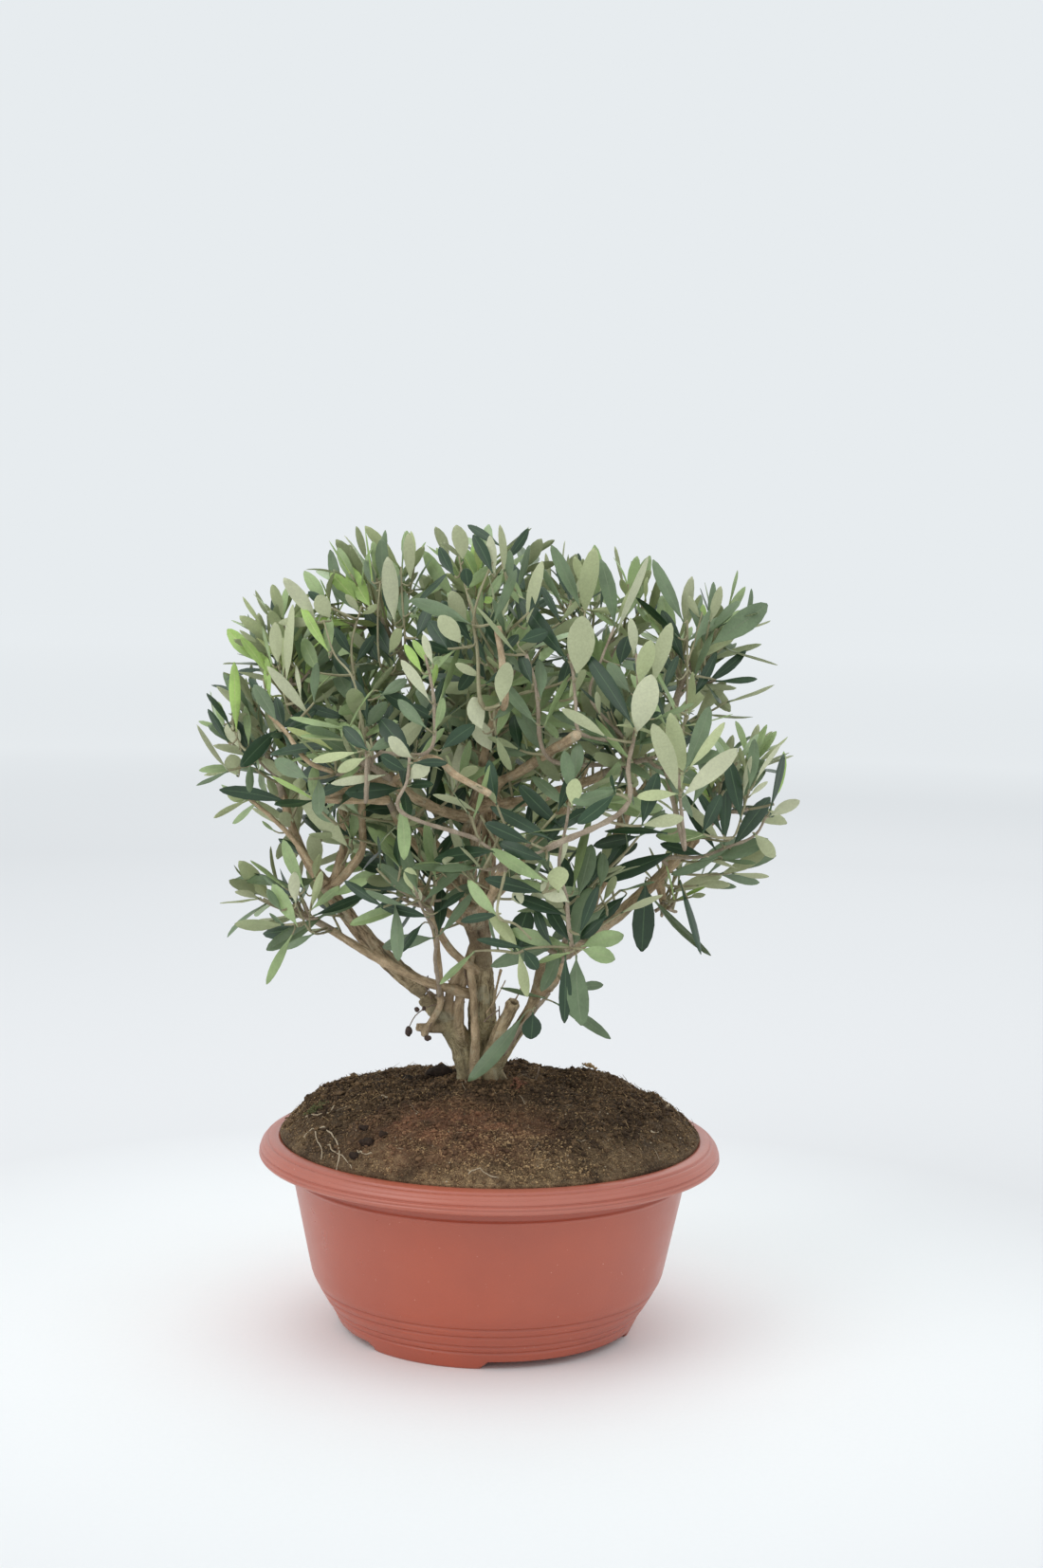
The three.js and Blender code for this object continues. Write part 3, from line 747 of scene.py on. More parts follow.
def tubes(name, strands, sides=5):  # one joined mesh of closed tubes, each a pair of points and radii
    points, quads, caps, base = [], [], [], 0
    turn = np.arange(sides) * 2 * math.pi / sides
    for path, radii in strands:
        path, radii = np.asarray(path, float), np.asarray(radii, float)
        heading = np.gradient(path, axis=0)
        heading /= np.linalg.norm(heading, axis=1)[:, None]
        side = unit(np.cross(heading[0], [0.31, 0.87, 0.38]))
        rings = []
        for at, radius, ahead in zip(path, radii, heading):
            side = unit(side - ahead * (side @ ahead))
            other = np.cross(ahead, side)
            rings.append(at + radius * (np.cos(turn)[:, None] * side + np.sin(turn)[:, None] * other))
        count = len(path)
        points.append(np.concatenate(rings))
        ring = np.arange(sides)
        ahead = (ring + 1) % sides
        for step in range(count - 1):
            low, high = base + step * sides, base + (step + 1) * sides
            quads.append(np.column_stack([low + ring, low + ahead, high + ahead, high + ring]))
        caps += [base + ring[::-1], base + (count - 1) * sides + ring]
        base += count * sides
    return meshFromArrays(name, np.concatenate(points), [np.concatenate(quads), np.array(caps)])


def makeFibres(name, count, seed, lengths, width, material, front=0.0):
    random = np.random.default_rng(seed)
    strands = []
    for x, y in scattered(count, seed, 16.0, 103.0, front):
        length = lerp(lengths, random.random() ** 2)
        turn, climb = random.random() * 2 * math.pi, random.uniform(-0.1, 0.55)
        heading = unit(np.array([math.cos(turn), math.sin(turn), climb]))
        bend = random.uniform(-0.35, 0.35, 3)
        foot = np.array([x, y, 0.0])
        path = np.array([foot + heading * length * s + bend * length * s * s for s in np.linspace(0, 1, 5)])
        ground = moundHeight(path[:, 0], path[:, 1])
        lift = np.linspace(-0.2, 1, 5) * length * max(climb, 0.02)
        inside = np.hypot(path[:, 0], path[:, 1]) < 105
        if not inside.all():
            continue
        path[:, 2] = ground + lift + 0.25
        strands.append((path, width * np.array([0.8, 1.0, 0.9, 0.7, 0.35]) * random.uniform(0.6, 1.4)))
    addPiece(name, tubes(name, strands, 4), [], [material])


seenMound = {
    "level": 26,
    "steepness": 3.2,
    "bed": 108,
    "along": np.arange(1.0, 1.5, 0.0005),  # metres from the camera
}

seenRoots = [  # pale thin roots that lie on the soil: corners in pixels, radius
    ([(321, 1183), (333, 1182), (345, 1180), (352, 1173), (356, 1168)], 0.55),
    ([(319, 1205), (324, 1197), (334, 1193), (347, 1197), (355, 1208), (357, 1223), (355, 1231)], 0.5),
    ([(332, 1197), (334, 1208), (340, 1218), (338, 1226)], 0.4),
    ([(376, 1213), (383, 1220), (394, 1218)], 0.5),
    ([(401, 1157), (409, 1158), (417, 1156)], 0.6),
    ([(492, 1242), (502, 1239), (517, 1245), (528, 1246)], 0.35),
    ([(682, 1197), (690, 1201), (698, 1197)], 0.45),
    ([(345, 1210), (352, 1218), (362, 1222), (372, 1232)], 0.35),
]


def groundSeen(pixelX, pixelY):  # where the line of sight meets an even mound
    eye, way = np.array(view["place"]), sightTo(pixelX, pixelY)
    for reach in seenMound["along"]:
        x, y, z = (eye + reach * way) * 1000
        out = math.hypot(x, y)
        share = (out - seenMound["level"]) / (soilSizes["edge"] - seenMound["level"])
        fall = max(0, min(1, share)) ** seenMound["steepness"]
        height = soilSizes["rim"] + (soilSizes["shoulder"] - soilSizes["rim"]) * (1 - fall)
        if share > 0:
            height += soilSizes["lumps"] * math.sin(x / 11 + 1) * math.cos(y / 13)
        if out < seenMound["bed"] and z <= height:
            return tuple(round(round(float(v), 1)) for v in (x, y))


looseRoots = [([groundSeen(*corner) for corner in corners], radius) for corners, radius in seenRoots] + [
    ([(-30, 70), (-22, 76), (-12, 74)], 0.5), ([(38, 60), (46, 66), (57, 64), (63, 70)], 0.5),
    ([(84, 20), (90, 12), (88, 2)], 0.45),
]


def makeLooseStuff():
    dark = earthen("crumbDark", (0.085, 0.053, 0.031), (0.035, 0.022, 0.014), 0.35)
    brown = earthen("crumbBrown", (0.20, 0.125, 0.067), (0.085, 0.053, 0.030))
    tan = earthen("crumbTan", (0.52, 0.36, 0.19), (0.30, 0.19, 0.098))
    pale = mottled("chipPale", (0.52, 0.43, 0.31), (0.40, 0.31, 0.21), 400, 1500, 0.3, 0.9, 0.0003, 0.2)
    red = mottled("chipRed", (0.27, 0.125, 0.075), (0.13, 0.065, 0.04), 400, 1500, 0.4, 0.9, 0.0003, 0.2)
    moss = mottled("moss", (0.14, 0.14, 0.06), (0.09, 0.09, 0.04), 500, 1800, 0.5, 0.95, 0.0005, 0.2)
    makeCrumbs("crumbsDark", 6400, 11, (0.3, 1.6), dark, outer=92.0, patch=0.0)
    makeCrumbs("crumbsBrown", 8600, 12, (0.25, 1.1), brown)
    makeCrumbs("lumps", 900, 17, (0.8, 2.3), brown, outer=100.0, patch=0.0)
    # painted shade: few pale crumbs in these spots under the crown, so the soil is darker there
    paintedShadeSpots = [(-57, -72, 15), (64, -66, 22), (20, -20, 20)]
    makeCrumbs("crumbsTan", 8600, 13, (0.16, 0.55), tan, inner=34, patch=-0.4, bare=paintedShadeSpots)
    makeCrumbs("crumbsLeft", 7000, 16, (0.2, 0.7), tan, inner=30, patch=-0.2, around=(-72, -2, 34, 44))
    makeCrumbs("grains", 2600, 19, (0.14, 0.4), tan)
    makeCrumbs("crumbsRim", 14000, 14, (0.2, 0.7), tan, inner=66, front=0.9, patch=-0.45,
               around=(-4, -92, 56, 22), bare=paintedShadeSpots)
    makeCrumbs("crumbsFoot", 900, 18, (0.3, 1.5), brown, outer=27.0, inner=9.0)
    makeCrumbs("chipsPale", 200, 15, (0.25, 0.6), pale, inner=60, front=0.7)
    makeFibres("fibresTan", 1100, 21, (1.5, 5.5), 0.14, tan)
    makeFibres("fibresBrown", 1900, 23, (2, 8), 0.17, brown)
    makeFibres("fibresPale", 60, 22, (3, 10), 0.14, pale)
    roots = []
    for corners, radius in looseRoots:
        line = threaded([(x, y, 0) for x, y in corners])
        path = np.array([line.at(s) for s in np.linspace(0, 1, 14)])
        path[:, 2] = moundHeight(path[:, 0], path[:, 1]) + 0.35
        path[[0, -1], 2] -= 1.2
        roots.append((path, radius * np.linspace(1, 0.7, 14)))
    addPiece("looseRoots", tubes("looseRoots", roots, 6), [], [pale])

    patches = [  # heaps of one stuff: x, y, spread, count, size, material
        ("redClump", 13, -19, 3.6, 60, 0.8, red), ("redChips", -44, -61, 2.0, 8, 0.9, red),
        ("mossPatch", -86, -14, 6.0, 110, 0.9, moss), ("tuft", 50, 20, 3.0, 70, 0.8, tan),
    ]
    for name, x, y, spread, count, size, material in patches:
        random = np.random.default_rng(len(name))
        bm = bmesh.new()
        for _ in range(count):
            spot = random.normal(0, spread / 2, 2) + (x, y)
            ground = moundHeight(spot[:1], spot[1:])[0]
            lift = random.uniform(0, 3.0 if name == "redClump" else 1.6)
            lift = lift * math.exp(-np.sum((spot - (x, y)) ** 2) / spread ** 2)
            turn = Matrix.Rotation(random.random() * 6, 4, "Z") @ Matrix.Rotation(random.random() * 6, 4, "X")
            half = random.uniform(0.35, 1.0, 3) * size
            place = Matrix.Translation((*spot, ground + lift + (3.5 if name == "tuft" else 0.2)))
            bmesh.ops.create_icosphere(bm, subdivisions=1, radius=1.0,
                                       matrix=place @ turn @ Matrix.Diagonal((*half, 1)))
        bmesh.ops.scale(bm, vec=(mm, mm, mm), verts=bm.verts)
        addPiece(name, meshFromBmesh(name, bm), [], [material], smooth=False)
    print("loose stuff")


makeLooseStuff()


# trunk and boughs, from the same tables as the solids

trunk = {
    "foot": [-3, 0, 118.3],
    "route": [[-2, 0, 134], [-5, 0, 154], [-7, -2, 172], [-7, -3, 195]],
    "radii": [14.5, 10.4, 12.2, 6.6, 5.9],
}

knots = [  # from, to, radii
    ([-5, 0, 146], [-27, -1, 160], [9.5, 5.2]),
    ([-3, 0, 140], [13, 1, 155], [9, 7.2]),
    ([6, -4, 146], [9, -9, 164], [4.2, 3]),
    ([-20, -3, 153], [-37, -9, 152], [4, 2.2]),
    ([-3, 4, 144], [-6, 16, 158], [8.5, 5]),
]

boughs = [  # name, parent, place on it, mass or tip, bow, radii
    ("bough_left", "trunk", 0.5, [-83, -6, 221], [0, 0, -12], [4.6, 3.3]),
    ("bough_far_left", "bough_left", 1, "leaves_far_left", [-2, 0, -3], [2.7, 2]),
    ("bough_left_curl", "bough_left", 0.97, "leaves_left_upper", [12, 6, 0], [2.6, 1.8]),
    ("bough_low_left", "trunk", 0.64, "leaves_low_left", [4, -9, -5], [2.5, 1.8]),
    ("bough_front", "trunk", 1, [-4, -17, 280], [-8, -3, -2], [5.2, 3.9]),
    ("bough_leader", "trunk", 0.93, "leaves_top", [4, 7, 0], [4.2, 2.4]),
    ("bough_right", "trunk", 0.36, [25, -6, 184], [8, 0, -4], [5, 4.1]),
    ("bough_far_right", "bough_right", 0.98, "leaves_far_right", [3, 2, -3], [3.6, 2.2]),
    ("bough_right_up", "bough_right", 0.8, [66, 6, 266], [4, 4, -4], [3.4, 2.8]),
    ("bough_right_top", "bough_right_up", 1, "leaves_top_right", [5, 0, 2], [2.4, 1.8]),
    ("bough_right_outer", "bough_right_up", 0.96, "leaves_right_upper", [4, 0, -4], [2.3, 1.8]),
    ("bough_front_right", "bough_front", 0.8, "leaves_front_right", [2, 0, -3], [2.9, 2]),
    ("bough_front_left", "bough_front", 0.74, "leaves_front_left", [0, 0, -4], [2.7, 1.9]),
    ("bough_centre", "bough_front", 0.97, "leaves_centre", [0, 0, 0], [2.6, 1.9]),
    ("bough_front_top", "bough_front", 0.9, "leaves_top_front", [-2, -6, 0], [2.5, 1.8]),
    ("bough_centre_left", "bough_front", 0.28, "leaves_left_front", [-3, -1, -3], [3.1, 2]),
    ("bough_top_left", "bough_leader", 0.55, "leaves_top_left", [-3, 0, -5], [2.5, 1.8]),
    ("bough_front_low", "bough_right", 0.72, "leaves_front_low", [2, -4, -2], [2.3, 1.7]),
    ("bough_front_mid", "bough_front", 0.2, "leaves_front", [0, -4, -7], [2.7, 1.9]),
    ("bough_left_low_front", "trunk", 0.8, "leaves_centre_low", [-2, -3, -3], [2.2, 1.7]),
    ("bough_right_low", "bough_far_right", 0.72, "leaves_low_right", [0, 0, 1], [2, 1.6]),
    ("bough_back", "trunk", 0.62, [-6, 38, 214], [0, 7, -5], [4.6, 3.6]),
    ("bough_back_left", "bough_back", 0.96, "leaves_back_left", [-3, 2, -5], [3, 2]),
    ("bough_back_right", "bough_back", 0.9, "leaves_back_right", [4, 2, -5], [3, 2]),
    ("bough_back_mid", "bough_back", 1, "leaves_back", [0, 3, -5], [2.8, 1.9]),
    ("bough_back_top", "bough_leader", 0.42, "leaves_top_back", [0, 3, -4], [2.6, 1.8]),
    ("bough_back_low", "bough_back", 0.7, "leaves_back_low", [-2, 3, -4], [2.3, 1.7]),
]

masses = {  # centre, reach
    "leaves_top": ([-8, 8, 362], [40, 38, 43]),
    "leaves_top_left": ([-60, -2, 350], [38, 38, 46]),
    "leaves_top_right": ([47, 6, 346], [38, 38, 45]),
    "leaves_top_back": ([-14, 76, 338], [44, 40, 44]),
    "leaves_top_front": ([2, -64, 328], [44, 40, 44]),
    "leaves_left_upper": ([-98, -10, 320], [38, 40, 50]),
    "leaves_right_upper": ([97, 4, 332], [38, 40, 48]),
    "leaves_back_right": ([62, 84, 302], [46, 42, 46]),
    "leaves_back_left": ([-76, 74, 298], [46, 44, 46]),
    "leaves_front_right": ([70, -72, 292], [46, 42, 46]),
    "leaves_front_left": ([-62, -82, 288], [44, 42, 46]),
    "leaves_far_left": ([-116, 6, 284], [38, 42, 42]),
    "leaves_far_right": ([115, -10, 264], [38, 42, 42]),
    "leaves_left_front": ([-62, -30, 276], [36, 38, 38]),
    "leaves_centre": ([0, -8, 306], [40, 40, 36]),
    "leaves_back": ([-4, 102, 258], [46, 42, 44]),
    "leaves_front": ([8, -98, 250], [46, 42, 42]),
    "leaves_low_left": ([-98, -14, 208], [34, 36, 38]),
    "leaves_low_right": ([84, 2, 214], [30, 34, 32]),
    "leaves_front_low": ([40, -50, 206], [38, 38, 48]),
    "leaves_centre_low": ([-38, -46, 224], [36, 36, 34]),
    "leaves_back_low": ([-56, 66, 224], [38, 38, 34]),
}
masses = {name: (np.array(centre, float), np.array(reach, float)) for name, (centre, reach) in masses.items()}

growth = {
    "twigs": 5,
    "leafed": (0.4, 0.97),
    "climb": (-0.45, 0.9),
    "spread": 0.38,
    "along": (0.25, 0.9),
    "sag": 2.0,
    "goldenAngle": 2.39996,
    "entry": 0.52,
    "overshoot": 0.1,
    "shortestBough": 14.0,
    "clearance": 0.8,
    "ownEnd": 6.0,
    "firstSeed": 101,
    "stemRadii": (2.0, 1.0),
    "twigRadii": (1.05, 0.6),
    "fineRadii": (0.75, 0.45),
    "sparse": {  # share of the leaves kept where the crown is open
        "leaves_low_right": 0.3, "leaves_centre_low": 0.5, "leaves_front_low": 0.5, "leaves_back_low": 0.7,
        "leaves_low_left": 0.55, "leaves_far_right": 0.75, "leaves_right_upper": 0.6, "leaves_top": 0.75,
        "leaves_top_right": 0.75, "leaves_top_left": 0.8, "leaves_top_front": 0.8, "leaves_top_back": 0.8,
    },
    "lowEdge": [(-150, 190), (-110, 176), (-80, 194), (-20, 190), (10, 178), (40, 182), (55, 210),
                (90, 214), (150, 224)],
    "shoots": 14,  # finer twigs in each mass, grown on from its stem and twigs
    "shootLength": (24, 44),
    "shootPairs": 4,
    "lowestShoot": 196,
    "apart": 3.7,
    "twigSteps": 10,
    "nearTwig": 2.2,  # a leaf this close stands on the twig
}

# strands that the trunk has grown together from: corners, radii
strands = [
    ([(-6, 1, 115), (-6, 1, 123), (-6, 1, 136), (-5.5, 0, 150), (-5.5, 0, 164), (-6, -1, 181), (-7, -3, 196)],
     [11.6, 9.2, 7.0, 5.9, 5.5, 5.3, 5.3]),
    ([(-9, -1, 116), (-10, -1, 126), (-13, -2, 137), (-17, -2, 146), (-22, -2, 153), (-28, -2, 160),
      (-34, -2, 166)],
     [7.6, 6.6, 6.0, 5.6, 5.3, 4.7, 4.2]),
    ([(-12, -3, 132), (-13.5, -4, 140), (-16, -6, 149), (-16.5, -6, 159), (-15.5, -5, 170), (-13, -4, 182),
      (-9.5, -3, 195)],
     [3.6, 3.1, 2.6, 2.4, 2.3, 2.1, 2.0]),
    ([(-20, -3, 151), (-22, -5, 162), (-20, -6, 173), (-15, -5, 184)], [2.8, 2.3, 2.0, 1.8]),
    ([(-6, -8.5, 118), (-8, -9, 130), (-8, -10, 143), (-8.5, -11, 155), (-9.5, -10.5, 169),
      (-11, -9.5, 182), (-9.5, -6, 196)],
     [3.0, 2.5, 2.1, 1.8, 1.7, 1.6, 1.4]),
    ([(-3, 5, 116), (-3, 5, 130), (-2, 7, 141), (-4, 9.5, 154), (-5, 14, 166), (-5.7, 20, 179)],
     [8.2, 6.6, 5.8, 5.3, 5.0, 4.6]),
    ([(-5, -4, 124), (-4, -5, 131), (1, -7, 143), (5, -9, 153), (9, -11, 162), (10.6, -13, 166)],
     [4.2, 3.8, 3.1, 2.9, 2.8, 3.1]),
    ([(-2, -1, 119), (-1.5, -1, 128), (4.5, -1, 138), (10.5, -2, 147), (16, -3, 155), (20.5, -4, 165),
      (23.5, -5, 175), (25, -6, 184)],
     [6.4, 5.2, 4.2, 3.6, 3.3, 3.1, 3.1, 3.2]),
    ([(-22, -3, 152), (-30, -6, 151), (-37, -9, 152)], [3.6, 2.6, 2.1]),
    ([(-34, -10, 147.5), (-30.4, -9, 154), (-26.8, -9, 160.5), (-25.4, -9, 165), (-26, -8, 170),
      (-27, -9, 184),
      (-28.4, -13, 198), (-32, -28, 211)], [1.7, 1.75, 1.8, 1.8, 1.6, 1.4, 1.3, 1.2]),
    # roots that flare out at the foot
    ([(-9, -4, 131), (-14, -6, 123), (-21, -9, 116)], [4.8, 3.8, 2.4]),
    ([(-2, -5, 129), (1, -9, 122), (5, -15, 116)], [4.0, 3.2, 2.2]),
    ([(0, 1, 130), (5, 2, 123), (11, 4, 116)], [4.0, 3.4, 2.4]),
    ([(0, 7, 130), (3, 11, 123), (7, 18, 116)], [4.2, 3.4, 2.4]),
    ([(-8, 5, 130), (-13, 9, 123), (-19, 13, 116)], [4.6, 3.6, 2.4]),
]

# where a limb comes out of the strands
ownStart = {"bough_left": 0.3, "bough_right": 0.85, "bough_back": 0.2}

cuts = [  # sawn ends: middle, facing, radius
    ((11.0, -13.8, 167.0), (0.3, -0.55, 0.78), 3.0),
    ((-38.4, -9.8, 152), (-0.95, -0.3, 0.0), 2.1),
]

snags = [  # dry bits of twig: corners, radius
    ([(0, -6, 160), (1.6, -5.5, 170), (4.0, -5, 181)], 0.75),
    ([(-3, -12, 160), (1, -12, 166), (6.5, -11, 177)], 0.5),
    ([(-4, -14, 156), (0, -13.5, 160), (3.5, -13, 162)], 0.4),
    ([(3.6, -12.5, 158), (3.5, -13, 164)], 0.3),
    ([(-12, -6, 172), (-14, -7, 181), (-13, -8, 186)], 0.45),
    ([(-30, -8, 166), (-33, -10, 172), (-32, -11, 178)], 0.4),
    ([(10, 10, 160), (14, 14, 168), (15, 17, 176)], 0.55),
    ([(-14, 14, 160), (-20, 18, 166), (-23, 22, 170)], 0.5),
    ([(-26, -9, 164), (-33, -12, 162), (-38, -13, 158), (-41, -13, 152)], 0.28),
    ([(-27, -9, 168), (-31, -12, 170), (-31.5, -12, 175)], 0.28),
    ([(-27, -8, 158), (-31, -12, 152), (-31.5, -12, 148)], 0.28),
    ([(20, -6, 122), (23, -8, 128), (24, -8, 133)], 0.4),
]

# corners in pixels, then depth: a share of the masses' reach, or y of foot and tip in mm; then the radii
seenLimbs = [
    ([(534, 735), (529, 695), (525, 661)], 1, 1.6, 1.5),
    ([(522, 834), (560, 808), (608, 775)], (-26, None), 2.2, 2.2),
    ([(334, 918), (300, 876), (262, 842)], 0.45, 1.7, 0.9),
    ([(356, 930), (372, 913), (381, 895), (382, 870), (381, 845)], 0.45, 2, 1.6),
    ([(332, 842), (365, 843), (408, 844)], 0.42, 1.5, 1.9),
    ([(330, 806), (302, 774), (283, 754)], 0.5, 1.5, 0.9),
    ([(458, 799), (482, 818), (516, 838)], 1, 1.1, 1.5),
]

seenShoots = [  # the same
    ([(304, 748), (298, 722), (293, 690)], 0.75, 0.8, 0.5),
    ([(270, 800), (256, 790), (248, 768), (246, 745)], 0.8, 1, 0.5),
    ([(292, 768), (284, 745), (278, 716)], 0.8, 0.8, 0.5),
    ([(384, 770), (373, 715), (372, 680), (381, 640)], (-52, -32), 1.2, 0.6),
    ([(373, 715), (352, 690), (341, 655)], 0.9, 0.8, 0.5),
    ([(402, 705), (398, 650), (401, 614)], 0.95, 0.9, 0.5),
    ([(427, 675), (424, 630), (424, 598)], 0.85, 0.8, 0.6),
    ([(510, 745), (504, 690), (500, 650), (507, 620), (520, 592)], 0.95, 1.5, 0.6),
    ([(500, 650), (490, 615), (484, 588)], 0.9, 0.8, 0.5),
    ([(577, 800), (565, 728), (555, 690)], 1.03, 1.3, 1.1),
    ([(455, 790), (458, 745), (455, 715), (448, 690)], 1.03, 1.3, 0.8),
    ([(612, 772), (608, 740), (604, 705), (599, 690)], 0.9, 1.3, 0.8),
    ([(606, 712), (612, 676), (617, 645)], 0.9, 1, 0.6),
    ([(622, 735), (634, 695), (648, 662)], 0.9, 1, 0.7),
    ([(720, 800), (724, 740), (725, 690), (726, 655)], (-34, -14), 1.2, 0.6),
    ([(725, 706), (735, 672), (741, 645)], 0.75, 0.7, 0.5),
    ([(661, 850), (663, 808), (670, 772), (672, 725), (671, 690)], 1, 1.7, 0.7),
    ([(722, 897), (719, 850), (716, 812)], 1, 1.3, 0.8),
    ([(698, 906), (738, 903), (765, 894), (796, 880), (809, 860)], 0.9, 1.3, 0.7),
    ([(774, 884), (784, 856), (791, 834)], 0.8, 0.8, 0.5),
    ([(604, 1006), (600, 972), (597, 948), (589, 912), (597, 868), (601, 848)], 1, 1.5, 0.8),
    ([(530, 1110), (548, 1085), (562, 1068), (580, 1047)], (-10, -24), 1.7, 1),
    ([(463, 1048), (459, 1010), (460, 985), (450, 965), (442, 950), (437, 932)], (-14, -70), 1.4, 0.7),
    ([(328, 982), (317, 962), (311, 944)], 0.8, 0.8, 0.5),
    ([(328, 980), (327, 955), (333, 935)], 0.8, 0.8, 0.5),
    ([(387, 845), (386, 820), (386, 792)], 0.6, 1.4, 0.9),
    ([(419, 850), (428, 826), (433, 799)], 1.02, 1.3, 0.8),
    ([(526, 966), (545, 975), (560, 990)], 0.9, 0.9, 0.6),
]
